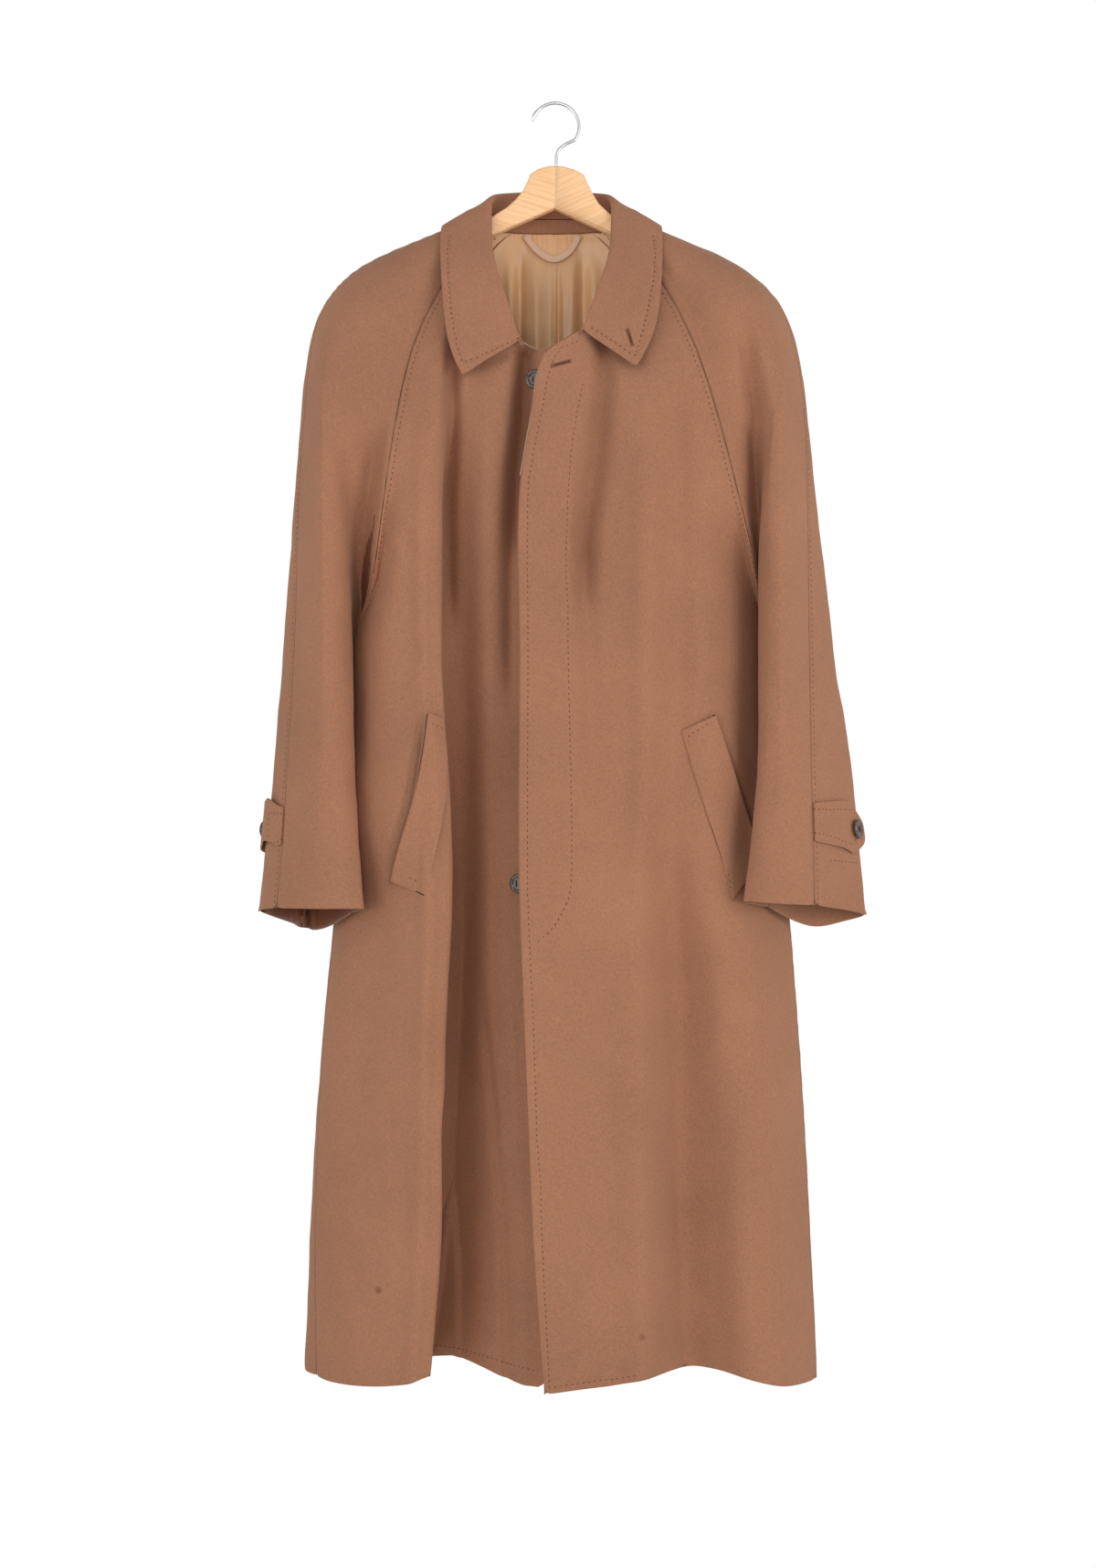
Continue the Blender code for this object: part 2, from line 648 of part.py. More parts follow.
def place_on(grid, normals, row, column):
    """Return the point and normal of a grid at a place between its rows and columns."""
    i, j = min(int(row), len(grid) - 2), min(int(column), len(grid[0]) - 2)
    down_share, across_share = row - i, column - j

    def at(values):
        upper = blend(values[i][j], values[i][j + 1], across_share)
        lower = blend(values[i + 1][j], values[i + 1][j + 1], across_share)
        return blend(upper, lower, down_share)
    return at(grid), at(normals).normalized()


def cuff_tab(name, grid, normals, station, reach, material):
    """Make the pointed tab that leaves the outer arm seam above the cuff.

    `station` is its middle on the sleeve, and `reach` how many columns of the grid it spans.
    Returns the tab and where its button sits.
    """
    middle = station * ROWS_PER_STATION
    row_height = abs(grid[int(middle)][0].z - grid[int(middle) + 1][0].z)
    half = TAB_HEIGHT / 2 / row_height
    columns, rows = round(reach * 5), 6
    point_from = 0.72
    tab, facing = [], []
    for i in range(rows + 1):
        points, ways = [], []
        for j in range(columns + 1):
            share = j / columns
            flare = TAB_FLARE * half * min(1, share / point_from)
            narrow = 1 - max(0, share - point_from) / (1 - point_from) * 0.72
            row = middle + flare + (half + flare) * narrow * (2 * i / rows - 1)
            point, way = place_on(grid, normals, row, share * reach)
            points.append(point)
            ways.append(way)
        tab.append(points)
        facing.append(ways)
    made = cloth(name, tab, facing, WOOL, material, lift=LAID_GAP + WOOL, draw=0)
    spot, way = place_on(grid, normals, middle + TAB_FLARE * half, reach * 0.76)
    return made, spot + way * (LAID_GAP + WOOL), way


def strip(name, path, width, thickness, facing, material):
    """Make a flat tape along a path; `facing` is the way its face looks."""
    front, rear = [], []
    for k, point in enumerate(path):
        along = path[min(k + 1, len(path) - 1)] - path[max(k - 1, 0)]
        side = along.cross(facing).normalized() * width / 2
        front.append([point - side, point + side])
        rear.append([p - facing * thickness for p in front[-1]])
    return closed_wall(name, front, rear, material)


def hanger_half(name, side, material):
    """Make one mitred half of the wooden hanger: a sawn outline with eased edges."""
    crest = {
        -1: [(8, -67.5), (18, -70.5), (27, -76), (29.7, -84), (35, -94.5), (43, -104.3), (52, -112.5)],
        1: [(8, -67.5), (20, -70.5), (30.5, -76), (34, -84), (39.5, -95), (47, -107), (57.5, -116.5)],
    }[side]
    top = [(0, -67)] + crest + [(68, -122.5), (80, -130), (110, -144), (150, -158), (185, -170.3)]
    top += [(203, -178.8), (213, -186)]
    tip = [(219, -194), (219.5, -202), (214, -206.5)]
    under = [(205, -204.5), (150, -180.5), (66, -142.4), (0, -112.5)]
    mesh = bmesh.new()
    half_gap = 0.15 * MM
    outline = []
    for x, z in top + tip + under:
        x = max(x * MM, half_gap) * side
        outline.append(mesh.verts.new((x, -HANGER_THICKNESS / 2, z * MM)))
    face = mesh.faces.new(outline)
    sweep = bmesh.ops.extrude_face_region(mesh, geom=[face])
    new = [item for item in sweep["geom"] if isinstance(item, bmesh.types.BMVert)]
    bmesh.ops.translate(mesh, verts=new, vec=(0, HANGER_THICKNESS, 0))
    bmesh.ops.recalc_face_normals(mesh, faces=mesh.faces)
    mitre = abs(half_gap) * 1.01
    eased = [
        edge for edge in mesh.edges
        if abs(edge.verts[0].co.y - edge.verts[1].co.y) < MM
        and max(abs(vert.co.x) for vert in edge.verts) > mitre
    ]
    bmesh.ops.bevel(
        mesh, geom=eased, offset=2.2 * MM, segments=2, profile=0.5, affect="EDGES",
        clamp_overlap=True, material=-1,
    )
    lean = Matrix.Translation((HANGER_X, 0, 0)) @ Matrix.Rotation(HANGER_LEAN, 4, "Y")
    bmesh.ops.transform(mesh, matrix=lean, verts=mesh.verts)
    return finished(name, mesh, material, sharp=40)


def tube(name, path, radii, material, sides=12):
    """Make a round wire along a path that lies in one X-Z plane."""
    mesh = bmesh.new()
    rings = []
    for k, (point, radius) in enumerate(zip(path, radii)):
        along = path[min(k + 1, len(path) - 1)] - path[max(k - 1, 0)]
        side = along.cross(Vector((0, 1, 0))).normalized()
        turns = [2 * math.pi * n / sides for n in range(sides)]
        rings.append([
            mesh.verts.new(point + (side * math.cos(t) + Vector((0, math.sin(t), 0))) * radius)
            for t in turns
        ])
    for ring, following in zip(rings, rings[1:]):
        for n in range(sides):
            m = (n + 1) % sides
            mesh.faces.new((ring[n], ring[m], following[m], following[n]))
    mesh.faces.new(rings[0][::-1])
    mesh.faces.new(rings[-1])
    bmesh.ops.recalc_face_normals(mesh, faces=mesh.faces)
    return finished(name, mesh, material, sharp=60)


def hanger_hook(name, material):
    """Make the bent wire: a round hook with a rolled tip, an S-bend and a straight stem."""
    centre = Vector((0, 0, WIRE_RADIUS - HOOK_RADIUS))
    path = []
    for k in range(23):
        angle = math.radians(166 - k * 9)
        path.append(centre + Vector((math.cos(angle), 0, math.sin(angle))) * HOOK_RADIUS)
    bend = [path[-1]] + [Vector((x * MM, 0, z * MM)) for x, z in ((11, -42.6), (3.2, -49.5), (1, -57))]
    path += curve(bend, 5, before=path[-2])[1:]
    path.append(Vector((HANGER_X, 0, -66.6 * MM)))
    tip = [0.5, 1.25, 1.45, 1.15]   # the rolled tip is a little thicker than the wire
    radii = [WIRE_RADIUS * share for share in tip + [1] * (len(path) - len(tip))]
    return tube(name, path, radii, material)


# --- The whole coat ---------------------------------------------------------------------------

def clear_scene():
    for item in list(bpy.data.objects):
        bpy.data.objects.remove(item, do_unlink=True)


def build():
    clear_scene()
    wool = make_material("wool", (0.36, 0.18, 0.11), 0.9)
    satin = make_material("satin", (0.42, 0.26, 0.14), 0.4)
    tape = make_material("loop tape", (0.66, 0.44, 0.28), 0.5)
    horn = make_material("horn", (0.05, 0.035, 0.03), 0.35)
    pine = make_material("pine", (0.90, 0.62, 0.33), 0.5)
    wire = make_material("zinc wire", (0.62, 0.62, 0.62), 0.3, metallic=1.0)

    # Seams that panels share.
    raglan = {
        ("right", "front"): RAGLAN_RIGHT["front"], ("right", "back"): RAGLAN_RIGHT["back"],
        ("left", "front"): RAGLAN_LEFT["front"], ("left", "back"): RAGLAN_LEFT["back"],
    }
    under = {"right": UNDER_RIGHT["under"], "left": UNDER_LEFT["under"]}
    outer_points = {key: points + SIDE[key[0]][1:] for key, points in raglan.items()}
    body_seam = {key: joined(points, SIDE[key[0]]) for key, points in raglan.items()}
    arm_seam = {key: joined(points, under[key[0]]) for key, points in raglan.items()}

    # Lines down each panel.
    fronts = {
        "left": [down(r) for r in front_rails(LEFT_NECK, LEFT_FRONT, LEFT_HEM,
                                              outer_points["left", "front"])],
        "right": [down(r) for r in front_rails(RIGHT_NECK, RIGHT_FRONT, RIGHT_HEM,
                                               outer_points["right", "front"])],
    }
    back = [down(r) for r in back_rails(outer_points["right", "back"],
                                        outer_points["left", "back"])[1:-1]]
    sleeves = {
        "right": (SLEEVE_RIGHT_FRONT, SLEEVE_RIGHT_BACK),
        "left": (SLEEVE_LEFT_FRONT, SLEEVE_LEFT_BACK),
    }
    arms = {side: {name: down(points) for part in parts for name, points in part.items()}
            for side, parts in sleeves.items()}

    # The panels. Each takes its direction at a seam from the panel on the other side.
    armpit = row_of(UNDERARM)
    grids = {}
    for side in ("left", "right"):
        arm = arms[side]
        next_back = back[-1] if side == "left" else back[0]
        past_front = arm["dip"][:armpit] + next_back[armpit:]
        grids["front_" + side] = loft(fronts[side] + [body_seam[side, "front"]], 2,
                                      after=past_front)
        past_arm = fronts[side][-1][:armpit] + arm["inner"][armpit:]
        grids[f"sleeve_{side}_front"] = loft(
            [arm_seam[side, "front"], arm["dip"], arm["lip"], arm["crest"], arm["seam"]], 2,
            before=past_arm, after=arm["out"])
        past_back = next_back[:armpit] + arm["dip"][armpit:]
        grids[f"sleeve_{side}_back"] = loft(
            [arm["seam"], arm["out"], arm["back"], arm["inner"], arm_seam[side, "back"]], 2,
            before=arm["crest"], after=past_back)
    past_right = arms["right"]["inner"][:armpit] + fronts["right"][-1][armpit:]
    past_left = arms["left"]["inner"][:armpit] + fronts["left"][-1][armpit:]
    grids["back"] = loft([body_seam["right", "back"], *back, body_seam["left", "back"]], 2,
                         before=past_right, after=past_left)
    # Every grid is turned so that its normals look out of the coat.
    for name in ("front_left", "sleeve_left_front", "sleeve_left_back"):
        grids[name] = [row[::-1] for row in grids[name]]

    seam = neck_seam(grids)
    armpits = [UNDER_RIGHT["under"][0], UNDER_LEFT["under"][0]]
    normals = shared_normals(grids, armpits)
    for name, grid in grids.items():
        cloth(name, grid, normals[name], WOOL, wool)

    # The collar and its stand.
    stand, collar = collar_grids(seam)
    cloth("collar_stand", stand, grid_normals(stand), COLLAR_WOOL, wool, draw=COLLAR_GAP / 2)
    collar = [row[::-1] for row in collar]
    cloth("collar", collar, grid_normals(collar), COLLAR_WOOL, wool, draw=COLLAR_GAP / 2)

    # The fly facing lies behind the left front's edge, down to where its stitching ends.
    rows = row_of(FLY_END)
    fly_columns = 4
    left, left_normals = grids["front_left"], normals["front_left"]
    fly = [row[-fly_columns:] for row in left[:rows + 1]]
    fly_normals = [row[-fly_columns:] for row in left_normals[:rows + 1]]
    cloth("fly_facing", fly, fly_normals, FACING_WOOL, wool, lift=-(WOOL + SEAM_GAP), draw=-0.7 * MM)

    # The lining of the upper back.
    lining_rows, inset = row_of(4), 3
    upper = [row[inset:-inset] for row in grids["back"][:lining_rows + 1]]
    upper_normals = [row[inset:-inset] for row in normals["back"][:lining_rows + 1]]
    cloth("lining_back", upper, upper_normals, SATIN, satin, lift=-(WOOL + SEAM_GAP), draw=0.6 * MM)

    # The hanging loop, in front of the lining.
    ends = ((-32, -134.5), (-27, -142), (-17, -153.5), (-1, -161), (14, -153.5), (22, -142), (25, -134.5))
    lining_face = surface(moved_out(upper, upper_normals, -(WOOL + SEAM_GAP + SATIN)))
    path = []
    for x, z in ends:
        spot = lining_face.ray_cast(Vector((x * MM, -0.02, z * MM)), Vector((0, 1, 0)))[0]
        path.append(spot - Vector((0, LOOP_GAP + LOOP_TAPE, 0)))
    strip("hanging_loop", curve(path, 3), 6.5 * MM, LOOP_TAPE, Vector((0, -1, 0)), tape)

    # Welts, tabs and buttons.
    trees = {side: surface(grids["front_" + side]) for side in ("left", "right")}
    welt("pocket_welt_right", WELT_RIGHT, trees["right"], wool)
    welt("pocket_welt_left", WELT_LEFT, trees["left"], wool)
    for side, station, reach in (("right", 10.78, 3.25), ("left", 10.72, 2.1)):
        grid, ways = grids[f"sleeve_{side}_back"], normals[f"sleeve_{side}_back"]
        if side == "left":
            grid, ways = [row[::-1] for row in grid], [row[::-1] for row in ways]
        _, spot, way = cuff_tab("cuff_tab_" + side, grid, ways, station, reach, wool)
        button("cuff_button_" + side, spot, way, horn)
    for k, (x, z) in enumerate(((-21, -305), (-19, -437), (-19, -569), (-21, -701), (-37, -833)), 1):
        spot, way = seen_point(trees["right"], x * MM, z * MM)
        button(f"front_button_{k}", spot, way, horn)

    hanger_half("hanger_arm_right", -1, pine)
    hanger_half("hanger_arm_left", 1, pine)
    hanger_hook("hanger_hook", wire)


build()
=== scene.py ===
"""A wool overcoat with raglan sleeves and a fly front, hanging on a flat pine hanger with a wire hook."""

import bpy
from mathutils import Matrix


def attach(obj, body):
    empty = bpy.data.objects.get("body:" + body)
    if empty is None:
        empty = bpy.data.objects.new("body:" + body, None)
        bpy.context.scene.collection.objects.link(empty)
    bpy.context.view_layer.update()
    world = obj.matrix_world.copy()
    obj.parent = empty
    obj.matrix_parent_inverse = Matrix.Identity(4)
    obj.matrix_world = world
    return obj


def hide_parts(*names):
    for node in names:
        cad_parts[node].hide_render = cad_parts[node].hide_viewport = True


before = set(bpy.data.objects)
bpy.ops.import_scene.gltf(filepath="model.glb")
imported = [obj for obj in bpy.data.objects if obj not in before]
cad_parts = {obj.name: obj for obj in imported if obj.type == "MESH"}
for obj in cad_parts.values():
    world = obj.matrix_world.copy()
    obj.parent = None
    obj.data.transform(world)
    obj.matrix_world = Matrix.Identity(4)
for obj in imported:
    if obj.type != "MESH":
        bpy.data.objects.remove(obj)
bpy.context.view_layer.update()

import math

import bmesh
import bpy
import numpy as np
from bpy.props import FloatProperty, FloatVectorProperty, PointerProperty
from mathutils import Matrix, Vector
from mathutils.bvhtree import BVHTree
from mathutils.kdtree import KDTree

bl_info = {
    "name": "Wool Overcoat",
    "version": (1, 0, 0),
    "blender": (4, 5, 0),
    "location": "3D View > Sidebar > Overcoat",
    "description": "Cuts, presses and sews a wool overcoat on its hanger",
    "category": "Object",
}

MM = 0.001
EYE = Vector((-0.00784, -2.34, -0.72912))      # where the front is looked at from
GRID = 0.98 * MM                               # one step of the grid laid over the front
MIDDLE = (600.0, 858.5)                        # the grid's own centre, straight in front of the eye
NECK = -0.004                                  # the coat hangs this far off the hanger's middle
BODY_OVAL = (0.27, 0.085)                      # half its width and half its depth, for the way out of it
ARMPIT = -0.45

SLEEVES = ("sleeve_left_front", "sleeve_left_back", "sleeve_right_front", "sleeve_right_back")
MITRE = (0.001, 0.0122)                         # where the hanger's halves meet: x at the hook, and its lean
MITRE_GAP = 0.13 * MM                           # each half stands this far off the joint
GRAIN_TURN = {"left": 25, "right": -17}         # degrees, how the grain of each arm leans
BUTTONS = ("cuff_button_left", "cuff_button_right") + tuple(f"front_button_{n}" for n in range(1, 6))
SHANK = 2.4 * MM                                # the thread under a button
DIMPLE = {"collar": 1.2 * MM, "other": 0.5 * MM}   # how deep a stitch draws the cloth in
DIMPLE_REACH = 5.5 * MM
BESIDE_SEAM = 5.5 * MM                          # from a seam to its row of stitches
SEAM_STEP, SEAM_LEAD = 6 * MM, 9 * MM           # between a seam's places, and how far it runs on at its top
ALLOWANCE = (1.3 * MM, 0.9 * MM)                # how far inside a seam its allowance lies, and its radius
SATIN_HEM = -1.33                               # the lining ends above the hem

# The arm's middle line inside a sleeve, wearer's left; the right one is its mirror
ARM = [(0.045, 0.0, -0.215), (0.150, 0.0, -0.262), (0.222, -0.004, -0.42),
       (0.252, -0.016, -0.62), (0.268, -0.040, -0.80), (0.276, -0.055, -0.95)]

# Creases: how wide and how deep in mm (below nought is a valley), then the line on the front grid
CREASES_FRONT = [
    (7, -1.6, [(739, 1388), (764, 1412), (795, 1442)]),
    (10, 1.3, [(728, 1400), (752, 1424), (786, 1458)]),
    (13, -1.8, [(797, 1080), (799, 1210), (792, 1350)]),
    (15, -1.5, [(648, 985), (644, 1050), (650, 1120)]),
    (12, 1.3, [(676, 1120), (680, 1240), (688, 1370)]),
    (9, -1.5, [(366, 1335), (389, 1402), (424, 1480)]),
    (12, 1.4, [(352, 1362), (376, 1430), (402, 1498)]),
    (10, -1.2, [(430, 1180), (441, 1290), (445, 1400)]),
    (14, 1.2, [(410, 1060), (414, 1160), (408, 1260)]),
    (8, -1.3, [(424, 560), (447, 588), (466, 604)]),
    (7, 1.0, [(421, 578), (440, 604), (452, 622)]),
    (8, -1.2, [(806, 566), (783, 590), (766, 604)]),
    (7, 1.0, [(812, 590), (790, 612), (776, 622)]),
    (9, -1.1, [(455, 690), (470, 735), (474, 775)]),
    (10, 1.0, [(770, 680), (765, 730), (758, 770)]),
    (9, -1.0, [(668, 700), (660, 790), (662, 880)]),
    (9, 0.9, [(700, 540), (694, 660), (702, 760)]),
    (6, -0.9, [(592, 1040), (606, 1062), (624, 1076)]),
    (7, -0.9, [(531, 1300), (536, 1380), (531, 1450)]),
    (9, 1.0, [(545, 1120), (548, 1230), (544, 1330)]),
    (7, -0.8, [(812, 950), (826, 1010), (838, 1075)]),
    (9, -0.9, [(846, 1180), (852, 1290), (850, 1400)]),
]
CREASES_SLEEVE_FRONT = [
    (8, -1.5, [(391, 610), (372, 640), (350, 655)]),
    (10, 1.3, [(388, 650), (366, 676), (344, 690)]),
    (8, -1.2, [(331, 700), (348, 728), (374, 742)]),
    (12, -1.4, [(356, 800), (361, 880), (358, 960)]),
    (9, 1.0, [(376, 842), (379, 905), (377, 962)]),
    (8, -1.0, [(328, 850), (338, 905), (336, 965)]),
    (8, -1.3, [(402, 470), (385, 500), (368, 515)]),
    (9, 1.1, [(398, 420), (380, 452), (362, 466)]),
    (8, -1.5, [(828, 618), (848, 652), (872, 668)]),
    (10, 1.3, [(830, 660), (850, 690), (876, 702)]),
    (8, -1.2, [(884, 742), (866, 764), (838, 776)]),
    (12, -1.4, [(850, 800), (847, 880), (850, 958)]),
    (9, 1.0, [(832, 850), (829, 905), (831, 955)]),
    (8, -1.0, [(872, 820), (869, 900), (871, 960)]),
    (8, -1.2, [(806, 468), (828, 500), (852, 514)]),
    (9, 1.0, [(804, 430), (826, 456), (848, 468)]),
    (8, -1.0, [(906, 812), (909, 850), (908, 872)]),
    (7, -0.9, [(926, 948), (929, 970), (928, 990)]),
]
# The same seen from behind, in mm across and up
CREASES_BACK = [
    (11, -1.8, [(-30, -1000), (-42, -1150), (-38, -1330)]),
    (13, 1.6, [(-66, -960), (-76, -1120), (-82, -1300)]),
    (12, -1.7, [(64, -930), (78, -1090), (86, -1310)]),
    (14, 1.5, [(30, -1040), (36, -1180), (33, -1340)]),
    (10, -1.3, [(128, -1120), (140, -1230), (146, -1350)]),
    (10, -1.3, [(-134, -1100), (-149, -1220), (-160, -1340)]),
    (9, -1.4, [(-150, -470), (-118, -505), (-82, -520)]),
    (9, 1.2, [(-158, -505), (-128, -540), (-96, -556)]),
    (9, -1.4, [(146, -470), (112, -508), (78, -524)]),
    (9, 1.1, [(152, -508), (120, -545), (90, -560)]),
    (11, -1.3, [(-20, -300), (-34, -420), (-30, -540)]),
    (12, 1.2, [(22, -280), (30, -400), (26, -560)]),
    (9, -1.0, [(-60, -225), (-20, -236), (24, -234)]),
    (12, -1.3, [(-88, -600), (-96, -740), (-90, -880)]),
    (12, 1.2, [(92, -590), (101, -720), (96, -860)]),
    (10, -1.1, [(4, -620), (8, -760), (2, -900)]),
]
CREASES_SLEEVE_BACK = [
    (9, -1.6, [(-214, -520), (-236, -552), (-262, -566)]),
    (10, 1.3, [(-216, -560), (-240, -590), (-268, -602)]),
    (9, -1.3, [(-290, -640), (-268, -664), (-240, -674)]),
    (12, -1.4, [(-262, -700), (-271, -780), (-284, -860)]),
    (9, 1.1, [(-286, -720), (-298, -790), (-306, -850)]),
    (9, -1.6, [(210, -524), (232, -556), (258, -570)]),
    (10, 1.3, [(214, -566), (236, -596), (264, -606)]),
    (9, -1.3, [(284, -650), (262, -672), (236, -680)]),
    (12, -1.4, [(258, -710), (268, -790), (280, -868)]),
    (9, 1.1, [(282, -730), (293, -800), (302, -856)]),
    (9, -1.2, [(-150, -330), (-176, -372), (-190, -420)]),
    (9, -1.2, [(146, -334), (172, -376), (186, -424)]),
]
CREASES_COLLAR = [
    (9, -0.8, [(507, 262), (512, 310), (524, 352)]),
    (10, 0.8, [(529, 250), (527, 300), (538, 350)]),
    (9, -0.8, [(703, 262), (697, 306), (684, 346)]),
    (10, 0.8, [(684, 250), (683, 296), (672, 336)]),
]

# The creases of each part of the coat from the front and from behind, and how uneven its cloth is in mm
PRESSED = {
    "body": (CREASES_FRONT, CREASES_BACK, 0.9),
    "sleeve": (CREASES_SLEEVE_FRONT, CREASES_SLEEVE_BACK, 0.9),
    "collar": (CREASES_COLLAR, [], 0.36),
}

# What happens beside a seam: how much, and how many mm from the seam it reaches
PUCKER = (0.28 * MM, 8 * MM)
GROOVE = (1.0 * MM, 1.8 * MM)
PINCH = (0.8, 1.7 * MM)                        # the share of the way by which both edges close up
CALM_FRONT = (0.5 * MM, 11 * MM)               # between these a fold comes up to its full depth
CALM_BACK = (0.5 * MM, 20 * MM)
SATIN_MARGIN = 16 * MM                         # the lining ends this far from a seam
SEAM_SHADE = (0.55, 1.4)                        # painted shade along a seam, partly its own darker pile: how dark, and its reach in mm
MOUTH_SHADOW = (0.8, 3.2)                        # painted shadow along the opening edge of a pocket: how dark, and its reach in mm

# Deeper folds: the pieces, width on the grid, how far the cloth stands out in mm, and the line
FOLDS = [
    ("front", 20, -12.0, [(735, 860), (738, 1100), (752, 1344), (760, 1510)]),
    ("front", 28, -19.0, [(750, 960), (762, 1100), (774, 1250), (784, 1400), (790, 1510)]),
    ("front", 20, 6.0, [(696, 960), (700, 1150), (704, 1350), (706, 1510)]),
    ("front", 18, 5.0, [(818, 930), (834, 1110), (850, 1340), (856, 1510)]),
    ("front", 22, -20.0, [(812, 520), (814, 620), (815, 750), (814, 900), (810, 1000)]),
    ("front", 13, -13.0, [(426, 500), (412, 640), (404, 760), (402, 860)]),
    ("front_right", 8, -20.0, [(502, 320), (495, 430), (496, 540), (498, 700)]),
    ("front_right", 4, -4.5, [(471, 760), (462.5, 823), (451.5, 886), (437.5, 933), (427, 975)]),
    ("front_left", 4, -4.5, [(778, 765), (798, 833), (812, 878), (827, 919), (840, 960)]),
    ("front_right", 16, -14.0, [(512, 430), (516, 700), (516, 900), (510, 1100), (502, 1250)]),
    ("front_right", 13, 6.0, [(466, 420), (472, 760), (478, 1000), (468, 1250), (452, 1512)]),
    ("front_right", 10, -13.0, [(578, 250), (574, 400), (572, 450), (564, 520), (561, 640), (562, 800)]),
    ("front_right", 10, -18.0, [(584, 270), (576, 400), (572, 500), (563, 620)]),
    ("front", 11, -14.0, [(668, 300), (662, 400), (654, 500), (642, 590), (640, 680)]),
    ("front", 12, -6.0, [(646, 480), (640, 580), (644, 700), (652, 900)]),
    ("front", 28, -7.0, [(672, 400), (664, 560), (668, 760), (680, 960)]),
    ("front", 17, -8.0, [(736, 350), (742, 520), (744, 700), (742, 900)]),
    ("front", 24, -6.0, [(778, 520), (784, 700), (782, 850)]),
    ("front", 14, 5.0, [(706, 430), (708, 600), (706, 800), (700, 1000)]),
    ("front_right", 5, -4.0, [(528, 1060), (540, 1190), (551, 1340), (556, 1512)]),
    ("front_right", 6, 3.0, [(556, 1020), (563, 1200), (571, 1350), (574, 1512)]),
    ("front", 9, -5.0, [(494, 404), (520, 398), (548, 388), (580, 372)]),
    ("front", 9, -5.0, [(712, 398), (690, 392), (664, 374), (640, 360)]),
    ("sleeve_left_front", 10, -13.0, [(812, 330), (829, 450), (827, 560), (831, 680)]),
    ("sleeve_right_front", 12, -16.0, [(414, 440), (402, 550), (394, 650), (388, 760)]),
    ("sleeve_left_front", 20, -6.0, [(742, 270), (762, 370), (786, 480)]),
]
# The same on the back, with places in mm across and up
FOLDS_BACK = [
    (26, 5.0, [(-52, -560), (-66, -860), (-86, -1380)]),
    (18, -6.5, [(-20, -640), (-28, -900), (-34, -1380)]),
    (24, 4.5, [(18, -700), (22, -980), (20, -1380)]),
    (17, -6.5, [(62, -560), (70, -900), (84, -1380)]),
    (24, 4.5, [(104, -620), (120, -980), (138, -1380)]),
    (18, -6.0, [(-118, -600), (-134, -900), (-146, -1380)]),
    (15, -5.0, [(-138, -330), (-122, -450), (-104, -590)]),
    (14, -5.0, [(128, -330), (116, -460), (96, -600)]),
]
HEM_FRONT, HEM_BACK = 1450, -1300              # a fold that ends below this runs out through the hem

# How far the sides reach behind the sleeves: side, mm, and from which height to which
SIDES = [(-1, 13.0, -0.86, -0.50), (1, 6.0, -0.86, -0.50)]

# The lip of the deep fold: how far down the front grid, and how far across
LIP = [(400, 488), (730, 488), (783, 491), (852, 496), (947, 499), (1010, 498), (1068, 495), (1133, 492),
       (1188, 490), (1242, 484), (1348, 480), (1402, 475.6), (1456, 471), (1506, 467)]

# How far in mm the lip leans over, steps back behind its edge, rolls out at it and bends in beside it
LIP_LEAN, LIP_STEP, LIP_ROLL, LIP_UNDERCUT = 9, 11, 5, 6
LIP_BEGINS, LEAN_ENDS = (420, 560), (1120, 1420)   # rows between which the fold grows, and its lean dies out
SAG = ((500, 580), (590, 600), (1400, 1500))   # the hem's sag grows across, ends across, and grows downwards
UNDER_HEM_DROP = 9                             # mm, how far the under front's hem sags beside the opening
COLLAR_DROP = (7.5, 11.5)                      # mm, the wearer's right and left collar point
COLLAR_ROWS = (290, 380)                       # rows between which the collar comes down
WELT_RISE, WELT_SINK = 3.2, 2.3                # mm, at the opening edge and at the seam
TAB_RISE, TAB_SINK, TAB_LIFT = (5.0, 2.0), 2.6, 7.0   # mm: off the left and right cuff, at the seam, upwards
# Folds in the wearer's right cuff: place across the front grid, width, and how far they come forward in mm
CUFF_FOLDS = [(329, 5, 14), (344, 4, 6), (337, 3, -5)]
CUFF_ROWS = (962, 1004)
CUFF_FREE = (-0.85, -0.70)                     # below these heights the cuffs keep their length at the seams

# The pocket welts: the edge that opens, then the seam, on the front grid
WELTS = {
    "pocket_welt_right": ([(471.5, 781), (466, 823), (455, 886), (441, 933), (432, 964)],
                          [(486, 788), (491, 823), (486, 890), (480, 926), (467, 981)]),
    "pocket_welt_left": ([(779, 783), (794, 833), (808, 878), (824, 925), (834, 958)],
                         [(747, 805), (763, 867), (784, 933), (802, 984.5)]),
}

